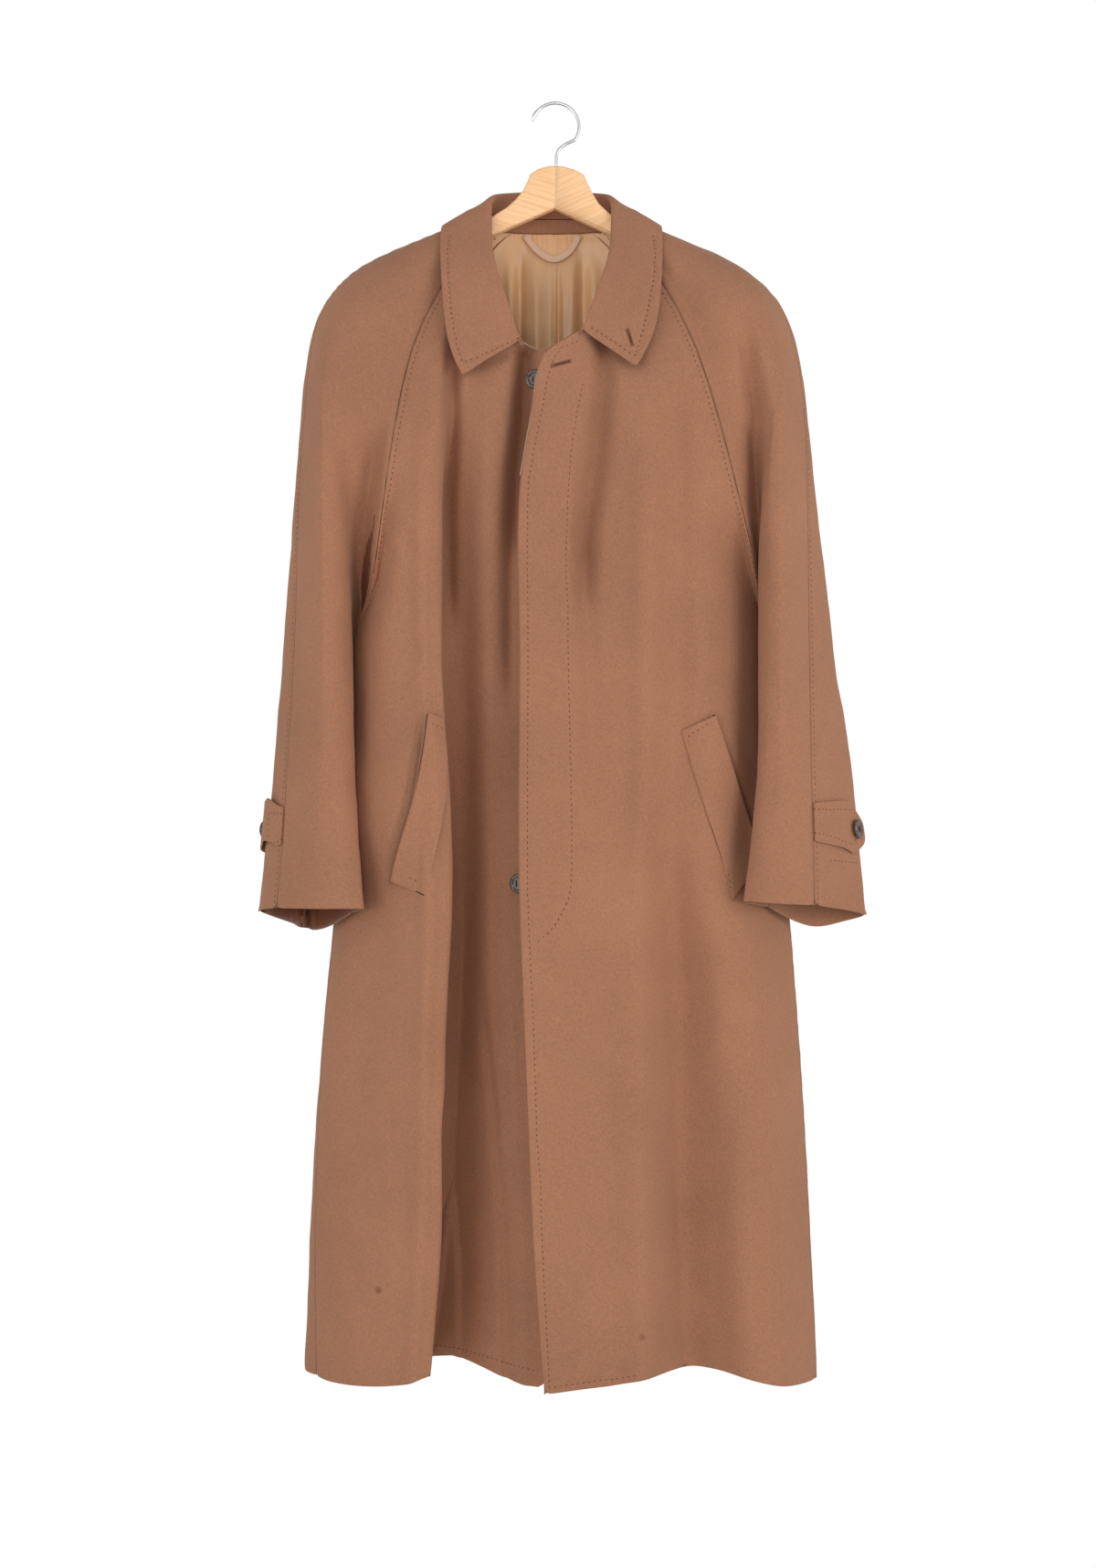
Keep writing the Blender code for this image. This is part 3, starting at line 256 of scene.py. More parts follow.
# Rows of stitches on the front grid, and the pieces that they may fall on
ROWS_FRONT = [
    ("front_left", [(632, 374), (616, 380), (609, 388), (603, 402), (599, 416), (596.5, 430), (594, 446),
                    (590, 464), (586, 484), (582, 506), (578.5, 528), (577.5, 562), (577, 613), (578, 665),
                    (578, 760), (577.5, 860), (577.5, 976), (579.5, 1026), (581.5, 1076), (584, 1120),
                    (588, 1250), (591.5, 1293), (593.5, 1358), (596.5, 1423), (599, 1467), (600.5, 1500),
                    (601.5, 1519)]),
    ("front_left", [(608, 1519), (644, 1513.5), (670, 1510.5), (694, 1507)]),
    ("front_left", [(638, 421), (631, 457), (626, 490), (624, 511), (622, 542), (620, 603), (620, 634),
                    (622, 665), (622, 705), (623, 760), (625.3, 868), (626, 910), (626, 943), (625.3, 968),
                    (622, 986), (616, 999), (608, 1012.6), (599.6, 1022.5), (589.7, 1030)]),
    ("front_right", [(478, 1473), (508, 1478), (530, 1485), (556, 1493), (584, 1501)]),
    ("collar", [(492, 258), (489.5, 272), (490.5, 304), (493.8, 342), (499.3, 374), (505.5, 395),
                (512, 395), (520, 392), (540, 382.5), (567, 370.5)]),
    ("collar", [(715.5, 258), (717.3, 275), (717, 295), (714.3, 314), (708.8, 342), (701.3, 370),
                (696, 389), (688, 385), (664, 368.5), (648, 359)]),
    ("cuff_tab_left", [(892, 886), (934, 886.5), (939, 896), (942.5, 908), (938, 918), (935, 925),
                       (929, 923), (914, 916.5), (902, 913.5), (892, 912)]),
    ("cuff_tab_right", [(312, 891), (294, 889.5), (293, 899), (293.5, 910), (292, 922), (300, 922.5),
                        (312, 919)]),
    ("sleeve_left_back", [(910, 942), (924, 943.5), (939, 945)]),
    ("pocket_welt_left", [(754, 806), (774, 793)]),
    ("pocket_welt_left", [(798, 958), (800, 972)]),
    ("pocket_welt_right", [(449, 962), (466, 968)]),
    ("pocket_welt_right", [(474, 793), (484, 797)]),
]

BUTTONHOLES = [("collar", (686.7, 360), (692.5, 378)), ("front_left", (625, 395), (604, 401))]
# The line of painted shadow along the right pocket's foot, on the front grid
POCKET_FOOT_SHADOW = [(431, 966), (448, 972), (467, 982)]
FRONT_TAPE = [(600, 386), (595.5, 396), (590.5, 410), (588, 426), (586.8, 442), (582.8, 462), (578.8, 483),
              (575.4, 504), (572.5, 520)]
NECK_TAPE = [(570, 374.5), (577, 378), (584, 382), (590, 384.5)]

# The lining in the neck: the row of the neck seam, the pleat's column and the column of its pressed edge
NECK_ROW, PLEAT, PLEAT_EDGE = 262, 611.5, 606.5
# Its soft folds: place across the front grid, lean, width, and how far out in mm
LINING_FOLDS = [(570, -0.01, 5, -8.0), (557, 0.03, 5, 3.0), (586, 0.02, 7, 4.0),
                (638, 0.02, 6, -8.0), (651, -0.02, 6, 3.0), (626, 0.01, 5, 3.5)]

# Two old spots near the hem: place on the front grid, radius in mm and strength
SPOTS = [(416.5, 1406, 3.4, 0.6), (700.7, 1448.5, 3.2, 0.45)]
HEM_NEARER = 0.978                             # a grid step is this much smaller where the hem hangs

# A button's section from the plate outwards and round to the back, in shares of its radius and thickness
BUTTON_SECTION = [(0.56, -0.26), (0.66, -0.16), (0.74, 0.0), (0.82, 0.02), (0.92, -0.06), (0.985, -0.24),
                  (1.0, -0.45), (0.985, -0.66), (0.93, -0.86), (0.82, -0.97), (0.70, -1.0), (0.56, -0.76)]
CUFF_BUTTON_SHIFT = Vector((-0.5, 0, 8)) * MM  # the right cuff's button sits this much higher on its tab

LENS, PICTURE = 50.06, 36                      # mm
BRIGHT_WAY = (0.22, -0.94, -0.12)              # where the room's light comes from
# The lamps: place, aim, size, watts and tint
LAMPS = {
    "Window": ((2.15, -1.95, -0.70), (0.0, 0.0, -0.62), 1.3, 22, (1.0, 0.99, 0.97)),
    "Fill": ((-1.9, -2.2, -0.9), (-0.05, 0.0, -0.65), 1.6, 14.5, (0.97, 0.98, 1.0)),
    "Front": ((-0.25, -2.3, -0.35), (0.0, 0.0, -0.3), 0.7, 6, (1.0, 0.99, 0.98)),
}


def front_ray(u, v):
    """The line of sight through a place on the front grid."""
    spot = Vector((EYE.x + (u - MIDDLE[0]) * GRID, 0.0, EYE.z - (v - MIDDLE[1]) * GRID))
    return (spot - EYE).normalized()


def front_grid(co):
    """Where points come on the front grid."""
    near = -EYE.y / (co[:, 1] - EYE.y)
    u = MIDDLE[0] + (co[:, 0] - EYE.x) * near / GRID
    v = MIDDLE[1] - (co[:, 2] - EYE.z) * near / GRID
    return np.stack([u, v], axis=1)


def points(mesh, what="co"):
    """A mesh's points, or their normals, as an array."""
    flat = np.empty(len(mesh.vertices) * 3, dtype=np.float32)
    if what == "co":
        mesh.vertices.foreach_get("co", flat)
    else:
        mesh.vertex_normals.foreach_get("vector", flat)
    return flat.reshape(-1, 3).astype(float)


def put_points(mesh, co):
    """Gives a mesh's points their new places."""
    mesh.vertices.foreach_set("co", co.astype(np.float32).ravel())
    mesh.update()


def unit(v):
    """Rows of an array at length 1."""
    return v / np.maximum(np.linalg.norm(v, axis=1, keepdims=True), 1e-9)


def smooth(x, low, high):
    """0 up to low, 1 from high on, and a smooth rise between them."""
    t = np.clip((x - low) / (high - low), 0, 1)
    return t * t * (3 - 2 * t)


def bell(x, wide):
    """1 where x is 0, and falling away on both sides."""
    return np.exp(-(x / wide) ** 2)


def around(co, path, margin):
    """Which points lie in the box around a line, or less than a margin outside it."""
    return np.all((co > np.min(path, axis=0) - margin) & (co < np.max(path, axis=0) + margin), axis=1)


def nearest_on(co, path):
    """How far points lie from a line of corners, and how far along it, from 0 to 1."""
    path = np.array(path, dtype=float)
    steps = np.linalg.norm(np.diff(path, axis=0), axis=1)
    total, gone = steps.sum(), 0.0
    best = np.full(len(co), 1e9)
    share = np.zeros(len(co))
    foot = np.zeros_like(co)
    for a, b, length in zip(path[:-1], path[1:], steps):
        t = np.clip(((co - a) @ (b - a)) / length ** 2, 0, 1)
        spot = a + t[:, None] * (b - a)
        d = np.linalg.norm(co - spot, axis=1)
        nearer = d < best
        best[nearer], foot[nearer] = d[nearer], spot[nearer]
        share[nearer] = (gone + t[nearer] * length) / total
        gone += length
    return best, share, foot


def group_of(node):
    """Which part of the coat a piece moves with when the cloth is pressed."""
    if node.startswith(("sleeve", "cuff")):
        return "sleeve_left" if "left" in node else "sleeve_right"
    return "collar" if node.startswith("collar") else "body"


def outward(co, node):
    """The way out of the coat at each point, the same for both faces of the cloth."""
    group = group_of(node)
    if group.startswith("sleeve"):
        side = 1 if group == "sleeve_left" else -1
        arm = [(x * side + NECK, y, z) for x, y, z in ARM]
        return unit(co - nearest_on(co, arm)[2])
    out = np.zeros_like(co)
    if group == "collar":
        out[:, 0], out[:, 1] = co[:, 0] - NECK, co[:, 1] - 0.01
        return unit(out)
    out[:, 0], out[:, 1] = (co[:, 0] - NECK) / BODY_OVAL[0] ** 2, (co[:, 1] + 0.005) / BODY_OVAL[1] ** 2
    return unit(out)


def creased(place, table, depth):
    """How far a table's creases lift each place; each is deepest near its middle and uneven in its length."""
    lift = np.zeros(len(place))
    for number, (width, deep, path) in enumerate(table):
        inside = around(place, path, 3 * width)
        if not inside.any():
            continue
        d, share, _ = nearest_on(place[inside], path)
        uneven = 1 + 0.3 * np.sin(9 * share + number) + 0.15 * np.sin(23 * share + 2 * number)
        ends = smooth(share, -0.02, 0.3) * smooth(-share, -1.02, -0.7)
        lift[inside] += deep * uneven * ends * bell(d, width * (0.75 + 0.5 * share))
    return lift * depth * MM


def wavy(co, size):
    """The slow unevenness of pressed wool."""
    x, y, z = co.T
    return size * (0.45 * np.sin(31 * x + 11 * z + 2 * np.sin(9 * z))
                   + 0.35 * np.sin(-47 * x + 23 * z + 19 * y + 1.3)
                   + 0.25 * np.sin(61 * x + 49 * z + 2.1 * np.sin(17 * x))
                   + 0.18 * np.sin(97 * z - 71 * x + 40 * y)
                   + 0.12 * np.sin(143 * x + 117 * z + 0.6)
                   + 0.08 * np.sin(211 * z - 187 * x + 90 * y + 2.2))


def tree_of(spots):
    """Some points, ready for finding the nearest of them."""
    tree = KDTree(len(spots))
    for number, spot in enumerate(spots):
        tree.insert(spot, number)
    tree.balance()
    return tree


def merged(node):
    """A node's solid as one closed mesh."""
    mesh = bmesh.new()
    mesh.from_mesh(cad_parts[node].data)
    bmesh.ops.remove_doubles(mesh, verts=mesh.verts, dist=1e-6)
    return mesh


def finished(name, mesh, material, node=None):
    """Makes an object of a bmesh or a mesh, with its material, hangs it on the root and hides the node it
    stands for.
    """
    if isinstance(mesh, bmesh.types.BMesh):
        data = bpy.data.meshes.new(name)
        mesh.to_mesh(data)
        mesh.free()
    else:
        data = mesh
    data.name = name
    data.materials.clear()
    data.materials.append(material)
    for polygon in data.polygons:
        polygon.use_smooth = True
    piece = bpy.data.objects.new(name, data)
    bpy.context.scene.collection.objects.link(piece)
    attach(piece, "root")
    if node:
        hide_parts(node)
    return piece


def refined(node, levels=3, rim=0.4, sharp=48, corners=1.0):
    """A finer copy of a node's solid, with its cut edges kept crisp."""
    mesh = merged(node)
    bmesh.ops.join_triangles(mesh, faces=mesh.faces, angle_face_threshold=math.radians(60),
                             angle_shape_threshold=math.radians(180), topology_influence=2.0)
    crease = mesh.edges.layers.float.new("crease_edge")
    corner = mesh.verts.layers.float.new("crease_vert")
    cut = set()
    for edge in mesh.edges:
        if edge.is_manifold and edge.calc_face_angle() > math.radians(sharp):
            edge[crease] = rim
            cut.add(edge)
    for vert in mesh.verts:
        if sum(edge in cut for edge in vert.link_edges) > 2:
            vert[corner] = corners
    data = bpy.data.meshes.new(node)
    mesh.to_mesh(data)
    mesh.free()
    piece = bpy.data.objects.new(node, data)
    bpy.context.scene.collection.objects.link(piece)
    levels = levels
    subdivision = piece.modifiers.new("Finer", "SUBSURF")
    subdivision.levels = subdivision.render_levels = levels
    shown = piece.evaluated_get(bpy.context.evaluated_depsgraph_get())
    fine = bpy.data.meshes.new_from_object(shown)
    bpy.data.objects.remove(piece)
    return fine


def rim_points(node, sharp=48):
    """Points along the cut edges of a node's outer face."""
    mesh = merged(node)
    mesh.normal_update()
    found = set()
    for edge in mesh.edges:
        if edge.is_manifold and edge.calc_face_angle() > math.radians(sharp):
            found.update(edge.verts)
    co = np.array([v.co for v in found])
    normal = np.array([v.normal for v in found])
    mesh.free()
    return co[np.sum(outward(co, node) * normal, axis=1) > 0.05]


def seam_line(first, second, part="", reach=5 * MM):
    """The seam between two pieces, from its top down; a sleeve's halves meet outside the arm and under it."""
    tree = tree_of(rim_points(second))
    side = 1 if "left" in first else -1
    line = []
    for spot in rim_points(first):
        near, _, distance = tree.find(spot)
        if distance < reach:
            middle = (Vector(spot) + near) / 2
            arm = np.interp(-middle.z, [-z for _, _, z in ARM[2:]], [x for x, _, _ in ARM[2:]])
            outer = middle.z > ARMPIT or (middle.x - NECK) * side > arm
            if not part or outer == (part == "outer"):
                line.append(middle)
    if not line:
        return [Vector((0, 0, -5)), Vector((0, 0, -6))]        # pieces that don't meet: far from all cloth
    if first == "collar_stand":
        line.sort(key=lambda spot: math.atan2(spot.x - NECK, 0.02 - spot.y))
    else:
        line.sort(key=lambda spot: -spot.z)
    kept = [line[0]]
    for spot in line[1:]:
        if (spot - kept[-1]).length > SEAM_STEP:
            kept.append(spot)
    if first.startswith("sleeve") and not part and len(kept) > 2:
        kept.insert(0, kept[0] + (kept[0] - kept[2]).normalized() * SEAM_LEAD)
    return kept


def seam_top(sleeve, body, foot=-0.21):
    """The middle of the wall along a seam's top, where the pieces' own points lie far apart."""
    tree = tree_of(Cloth.co[body])
    rows = {}
    for spot in Cloth.co[sleeve]:
        if spot[2] > foot and tree.find(spot)[2] < 2 * MM:
            rows.setdefault(round(spot[2] / (4 * MM)), []).append(spot)
    return [Vector(np.mean(rows[row], axis=0)) for row in sorted(rows, reverse=True)]


def spaced(line, step):
    """Places a step apart along a line of points."""
    gone = [0.0]
    for a, b in zip(line[:-1], line[1:]):
        gone.append(gone[-1] + (b - a).length)
    count = max(1, round(gone[-1] / step))
    places, at = [], 0
    for number in range(count + 1):
        want = gone[-1] * number / count
        while at < len(gone) - 2 and gone[at + 1] < want:
            at += 1
        share = (want - gone[at]) / max(gone[at + 1] - gone[at], 1e-9)
        places.append(line[at].lerp(line[at + 1], share))
    return places


class Cloth:
    """The cloth pieces made so far and their seams, for laying stitches and edges on them."""
    made, trees = {}, {}                       # the pieces, and their faces for finding places on them
    lines, seams = {}, {}                      # the seams by their two pieces, and by part of the coat
    co, normals, near = {}, {}, {}             # the pieces' points while they are sewn

    @classmethod
    def tree(cls, node):
        if node not in cls.trees:
            data = cls.made[node].data
            cls.trees[node] = BVHTree.FromPolygons([v.co[:] for v in data.vertices],
                                                   [p.vertices[:] for p in data.polygons])
        return cls.trees[node]


def folds_with(node, pieces, wide):
    """Whether a piece takes part in a fold: pockets and buttons fold with what they are sewn to."""
    if pieces.startswith("sleeve") or node.startswith(("sleeve", "cuff")):
        return node == pieces
    if node.startswith("pocket_welt"):
        return pieces == "front" or (node == "pocket_welt" + pieces[5:] and wide > 5)
    return node.startswith((pieces, "front_button")) or (pieces == "front" and not node.startswith("back"))


def seam_near(co, group, reach=22 * MM):
    """How far each point lies from the seams of its part of the coat, and the nearest place on them."""
    near, foot = np.full(len(co), 1.0), co.copy()
    for line in Cloth.seams[group]:
        inside = around(co, line, reach)
        if inside.any():
            d, _, spot = nearest_on(co[inside], line)
            nearer = d < near[inside]
            rows = np.flatnonzero(inside)[nearer]
            near[rows], foot[rows] = d[nearer], spot[nearer]
    return near, foot


def seen(out, way):
    """How much each point's cloth turns to the front (way -1) or to the back (way 1), from 0 to 1."""
    return smooth(way * out[:, 1], -0.1, 0.35)


def relief(co, node, out, near, depth):
    """How far pressing lifts each point: slow waves, creases, and puckers and a groove at the seams."""
    front, back, waves = PRESSED[group_of(node).split("_")[0]]
    lift = wavy(co, waves * MM) + seen(out, -1) * creased(front_grid(co), front, depth)
    lift += seen(out, 1) * creased(co[:, [0, 2]] / MM, back, depth)
    lift *= smooth(near, 1 * MM, 22 * MM) * 0.85 + 0.15
    pucker = np.sin(420 * co[:, 2] + 3 * np.sin(97 * co[:, 2]) + 260 * co[:, 0])
    return lift + PUCKER[0] * pucker * bell(near, PUCKER[1]) - GROOVE[0] * bell(near, GROOVE[1])


def folded(co, node, out, near):
    """The deeper folds of the fronts, the sleeves and the back."""
    grid, behind = front_grid(co), co[:, [0, 2]] / MM
    shape = np.zeros_like(co)
    for pieces, wide, deep, path in FOLDS:
        inside = around(grid, path, 3 * wide) & folds_with(node, pieces, wide)
        if inside.any():
            d, share, _ = nearest_on(grid[inside], path)
            ends = smooth(share, -0.02, 0.22)
            ends *= smooth(-share, -1.02, -0.8) if path[-1][1] < HEM_FRONT else 1
            calm = smooth(near[inside], *CALM_FRONT)
            shape[inside, 1] -= deep * MM * ends * calm * bell(d, wide) * seen(out, -1)[inside]
    if node == "back":
        for wide, deep, path in FOLDS_BACK:
            d, share, _ = nearest_on(behind, path)
            ends = smooth(share, 0, 0.4) * (1 if path[-1][1] < HEM_BACK else smooth(-share, -1, -0.7))
            shape[:, 1] += deep * ends * MM * bell(d, wide) * seen(out, 1) * smooth(near, *CALM_BACK)
    return shape


def wide_sides(co):
    """The sides of the body, which reach behind the sleeves."""
    shape = np.zeros_like(co)
    for side, far, low, high in SIDES:
        share = smooth(co[:, 2], low, low + 0.09) * smooth(-co[:, 2], -high, -high + 0.09)
        shape[:, 0] += side * far * MM * share * smooth((co[:, 0] - NECK) * side, 0.12, 0.20)
    return shape


def under_front(co, out):
    """The under front: the lip of its deep fold, the cloth that goes back behind it, and its sagging hem."""
    u, v = front_grid(co).T
    shape = np.zeros_like(co)
    begins = smooth(v, *LIP_BEGINS)
    shape[:, 0] -= LIP_LEAN * MM * begins * (1 - smooth(v, *LEAN_ENDS)) * bell(u - LIP[0][1] - 2, 40)
    past = u - np.interp(v, *zip(*LIP))
    below = begins * seen(out, -1) * MM
    shape[:, 1] += LIP_STEP * below * smooth(past, 0, 5) * np.exp(-np.maximum(past - 5, 0) / 26)
    shape[:, 0] += below * (LIP_ROLL * bell(past, 5) - LIP_UNDERCUT * bell(past - 8, 5))
    grows, ends, down = SAG
    sag = smooth(u, *grows) * smooth(-u, -ends[1], -ends[0]) * smooth(v, *down)
    shape[:, 2] -= UNDER_HEM_DROP * MM * sag
    return shape


def turned_collar(co, out):
    """The collar's points, which hang down and, on the wearer's left, turn in a little."""
    u, v = front_grid(co).T
    left = smooth(u, 590, 620)
    drop = (COLLAR_DROP[0] * (1 - left) + COLLAR_DROP[1] * left) * smooth(v, *COLLAR_ROWS)
    shape = np.stack([-4.5 * left * smooth(v, 330, 385), -0.12 * drop, -drop], axis=1)
    return seen(out, -1)[:, None] * shape * MM


def standing_welt(co, node):
    """How far a pocket's welt stands off the front at its opening edge, and sinks in at its seam."""
    opening, seam = (nearest_on(front_grid(co), path)[0] for path in WELTS[node])
    share = opening / (opening + seam)
    return (WELT_RISE * (1 - share) ** 3 - WELT_SINK * share ** 2) * MM


def standing_tab(co, node, near):
    """How far a cuff's tab is sewn down at the sleeve's seam, and stands off towards its point."""
    down = TAB_SINK * MM * bell(near, 4.5 * MM)
    if node.endswith("left"):
        return TAB_RISE[0] * MM * smooth(front_grid(co)[:, 0], 937, 948) - down
    return TAB_RISE[1] * MM * smooth(near, 8 * MM, 26 * MM) - down


def cuff_folds(co):
    """How far the bunched cloth of the wearer's right cuff comes forward."""
    u, v = front_grid(co).T
    return smooth(v, *CUFF_ROWS) * sum(far * bell(u - at, wide) for at, wide, far in CUFF_FOLDS) * MM


def moved(co, node, settings):
    """Where pressing and hanging take each point of a piece."""
    out = outward(co, node)
    group = group_of(node)
    near, foot = seam_near(co, group)
    shape = folded(co, node, out, near) if group != "collar" else np.zeros_like(co)
    if group == "body":
        shape += wide_sides(co)
    if node == "front_right":
        shape += under_front(co, out)
    if node == "collar":
        shape += turned_collar(co, out)
    if node in WELTS:
        shape += out * standing_welt(co, node)[:, None]
    if node.startswith("cuff_tab"):
        shape += out * standing_tab(co, node, near)[:, None]
    if node == "cuff_tab_right":
        shape[:, 2] += TAB_LIFT * MM * smooth(near, 4 * MM, 34 * MM)
    if node == "sleeve_right_back":
        shape[:, 1] -= cuff_folds(co)
    pinch = PINCH[0] * bell(near, PINCH[1])
    shape += (foot - co) * np.stack([pinch, pinch, pinch * smooth(co[:, 2], *CUFF_FREE)], axis=1)
    return co + out * relief(co, node, out, near, settings.crease_depth)[:, None] + shape


def press(node, mesh, settings):
    """Moves a piece's points where pressing takes them, and notes the painted shade along its seams, partly
    their own darker pile, and the painted shadow along its pockets' opening edges.
    """
    co = points(mesh)
    # Painted shade along the seams, partly the wool's own darker pile there
    dark = SEAM_SHADE[0] * bell(seam_near(co, group_of(node))[0] / MM, SEAM_SHADE[1])
    # Painted shadow along each pocket's opening edge on the front
    for welt, (opening, _) in WELTS.items():
        if node == "front" + welt[len("pocket_welt"):]:
            d, share, _ = nearest_on(front_grid(co), opening)
            dark = np.maximum(dark, MOUTH_SHADOW[0] * bell(d, MOUTH_SHADOW[1]) * smooth(share, 0, 0.2))
    layer = mesh.attributes.new("Seam", "FLOAT", "POINT")
    layer.data.foreach_set("value", dark.astype(np.float32))
    put_points(mesh, moved(co, node, settings))


def stitch_places(row, node, settings):
    """Places, a pitch apart, where a row's stitches meet the cloth, with the way the row runs."""
    tree = Cloth.tree(node)
    spots = []
    for place in spaced(row, settings.stitch_pitch):
        spot, normal, _, distance = tree.find_nearest(place)
        if spot is not None and distance < 12 * MM:
            spots.append((spot, normal))
    last = len(spots) - 1
    return [(spot, normal, (spots[min(n + 1, last)][0] - spots[max(n - 1, 0)][0]).normalized())
            for n, (spot, normal) in enumerate(spots)] if last > 0 else []


def draw_in(places, node, depth):
    """Draws the cloth in along a row, with a dimple at each stitch."""
    co, normals = Cloth.co[node], Cloth.normals[node]
    move = {}
    for spot, normal, ahead in places:
        for _, index, distance in Cloth.near[node].find_range(spot, DIMPLE_REACH):
            if normal.dot(Vector(normals[index])) < 0.25:
                continue
            offset = Vector(co[index]) - spot
            across = (offset - ahead * offset.dot(ahead)).length
            dimple = 0.8 * math.exp(-(distance / (1.8 * MM)) ** 2)
            dimple += 0.5 * math.exp(-(across / (2.4 * MM)) ** 2)
            move[index] = max(move.get(index, 0.0), depth * dimple)
    for index, deep in move.items():
        co[index] -= normals[index] * deep


def lay_thread(threads, places, node, settings):
    """Lays a short thread in each dimple of a row."""
    tree = Cloth.tree(node)
    length, width = settings.stitch_length, settings.stitch_width
    for spot, normal, ahead in places:
        spot = tree.find_nearest(spot)[0]
        side = normal.cross(ahead).normalized()
        turn = Matrix((ahead, side, ahead.cross(side))).transposed().to_4x4()
        size = Matrix.Diagonal((length, width, width * 0.8, 1))
        shape = Matrix.Translation(spot - normal * width * 0.12) @ turn @ size
        bmesh.ops.create_uvsphere(threads, u_segments=6, v_segments=4, radius=0.5,
                                  matrix=shape @ Matrix.Rotation(math.pi / 2, 4, "Y"))


def on_front(node, path, step=3):
    """Carries a line of the front grid along the line of sight onto a piece, a point every few grid steps."""
    tree = Cloth.tree(node)
    places = []
    for a, b in zip(path[:-1], path[1:]):
        count = max(1, int(math.dist(a, b) / step))
        for share in (number / count for number in range(count)):
            places.append((a[0] + (b[0] - a[0]) * share, a[1] + (b[1] - a[1]) * share))
    hits = [tree.ray_cast(EYE, front_ray(*place))[0] for place in places + [path[-1]]]
    return [hit for hit in hits if hit is not None]


def beside(line, node, offset):
    """A row a little way into a piece from a seam."""
    tree = Cloth.tree(node)
    row = []
    even = spaced(line, 8 * MM)
    for number, spot in enumerate(even):
        ahead = (even[min(number + 1, len(even) - 1)] - even[max(number - 1, 0)]).normalized()
        normal = Vector(outward(np.array([spot]), node)[0])
        side = normal.cross(ahead).normalized()
        found = [tree.find_nearest(spot + way * offset) for way in (side, -side)]
        row.append(min(found, key=lambda hit: hit[3])[0])
    return row


# Materials


def link(tree, a, b):
    """Joins an output to an input."""
    tree.links.new(a, b)


def plug(tree, value, socket):
    """Gives a socket a value, or links it where the value is a socket."""
    if isinstance(value, bpy.types.NodeSocket):
        link(tree, value, socket)
    else:
        socket.default_value = value


def node_of(tree, kind, **values):
    """A new node; a small letter begins the name of a setting, and a capital the name of a socket."""
    node = tree.nodes.new(kind)
    for key, value in values.items():
        if key[0].isupper():
            plug(tree, value, node.inputs[key.replace("_", " ")])
        else:
            setattr(node, key, value)
    return node


def worked(tree, operation, *values, kind="ShaderNodeMath", result=0):
    """What a math node makes of its values."""
    node = node_of(tree, kind, operation=operation)
    for socket, value in zip(node.inputs, values):
        plug(tree, value, socket)
    return node.outputs[result]


def ranged(tree, value, low, high, kind="LINEAR"):
    """A value stretched from its own range, low, to another one, high."""
    return node_of(tree, "ShaderNodeMapRange", interpolation_type=kind, Value=value, From_Min=low[0],
                   From_Max=low[1], To_Min=high[0], To_Max=high[1]).outputs[0]


def texture(tree, kind, place, **values):
    """A texture laid at a place."""
    node = node_of(tree, "ShaderNodeTex" + kind, Vector=place, **values)
    return node.outputs["Distance" if kind == "Voronoi" else "Fac"]


def stretched(tree, place, scale=(1, 1, 1), turn=(0, 0, 0)):
    """A place that is turned or stretched."""
    return node_of(tree, "ShaderNodeMapping", Vector=place, Scale=scale, Rotation=turn).outputs[0]


def laid(tree, group, place):
    """A node group laid at a place, as its outputs."""
    return node_of(tree, "ShaderNodeGroup", node_tree=group, Place=place).outputs


def mixed(tree, fac, a, b, kind="MIX"):
    """A colour mix; a and b may be colours or sockets."""
    mix = node_of(tree, "ShaderNodeMix", data_type="RGBA", blend_type=kind)
    for number, value in ((0, fac), (6, a), (7, b)):
        plug(tree, value, mix.inputs[number])
    return mix.outputs[2]


def new_group(name, inputs, outputs):
    """A node group with named inputs, each of a kind and a value, and named outputs."""
    group = bpy.data.node_groups.new(name, "ShaderNodeTree")
    for kind, title, value in inputs:
        socket = group.interface.new_socket(title, in_out="INPUT", socket_type=kind)
        if value is not None:
            socket.default_value = value
    for title in outputs:
        group.interface.new_socket(title, in_out="OUTPUT", socket_type="NodeSocketFloat")
    return group, group.nodes.new("NodeGroupInput"), group.nodes.new("NodeGroupOutput")


def nap_group():
    """The brushed face of woven wool: a faint diagonal under short fibres, and slow changes of tone."""
    if "Brushed nap" in bpy.data.node_groups:
        return bpy.data.node_groups["Brushed nap"]
    sockets = [("NodeSocketVector", "Place", None), ("NodeSocketFloat", "Size", 1.0)]
    group, start, end = new_group("Brushed nap", sockets, ("Height", "Fleck", "Tone"))
    place = node_of(group, "ShaderNodeVectorMath", operation="SCALE", Vector=start.outputs["Place"],
                    Scale=start.outputs["Size"]).outputs[0]
    fibres = texture(group, "Noise", place, Scale=1300.0, Detail=3.0, Roughness=0.6)
    clumps = texture(group, "Noise", place, Scale=430.0, Detail=3.0, Roughness=0.6)
    tone = texture(group, "Noise", place, Scale=7.0, Detail=4.0, Roughness=0.55)
    twill = texture(group, "Wave", place, wave_type="BANDS", bands_direction="DIAGONAL", Scale=190.0,
                    Distortion=1.6, Detail=2.0, Detail_Scale=3.0)
    low = worked(group, "MULTIPLY_ADD", twill, 0.22, fibres)
    plug(group, worked(group, "MULTIPLY_ADD", clumps, 0.7, low), end.inputs["Height"])
    plug(group, ranged(group, worked(group, "ADD", fibres, clumps), (0.7, 1.3), (0, 1)), end.inputs["Fleck"])
    plug(group, ranged(group, tone, (0.32, 0.68), (0, 1)), end.inputs["Tone"])
    return group


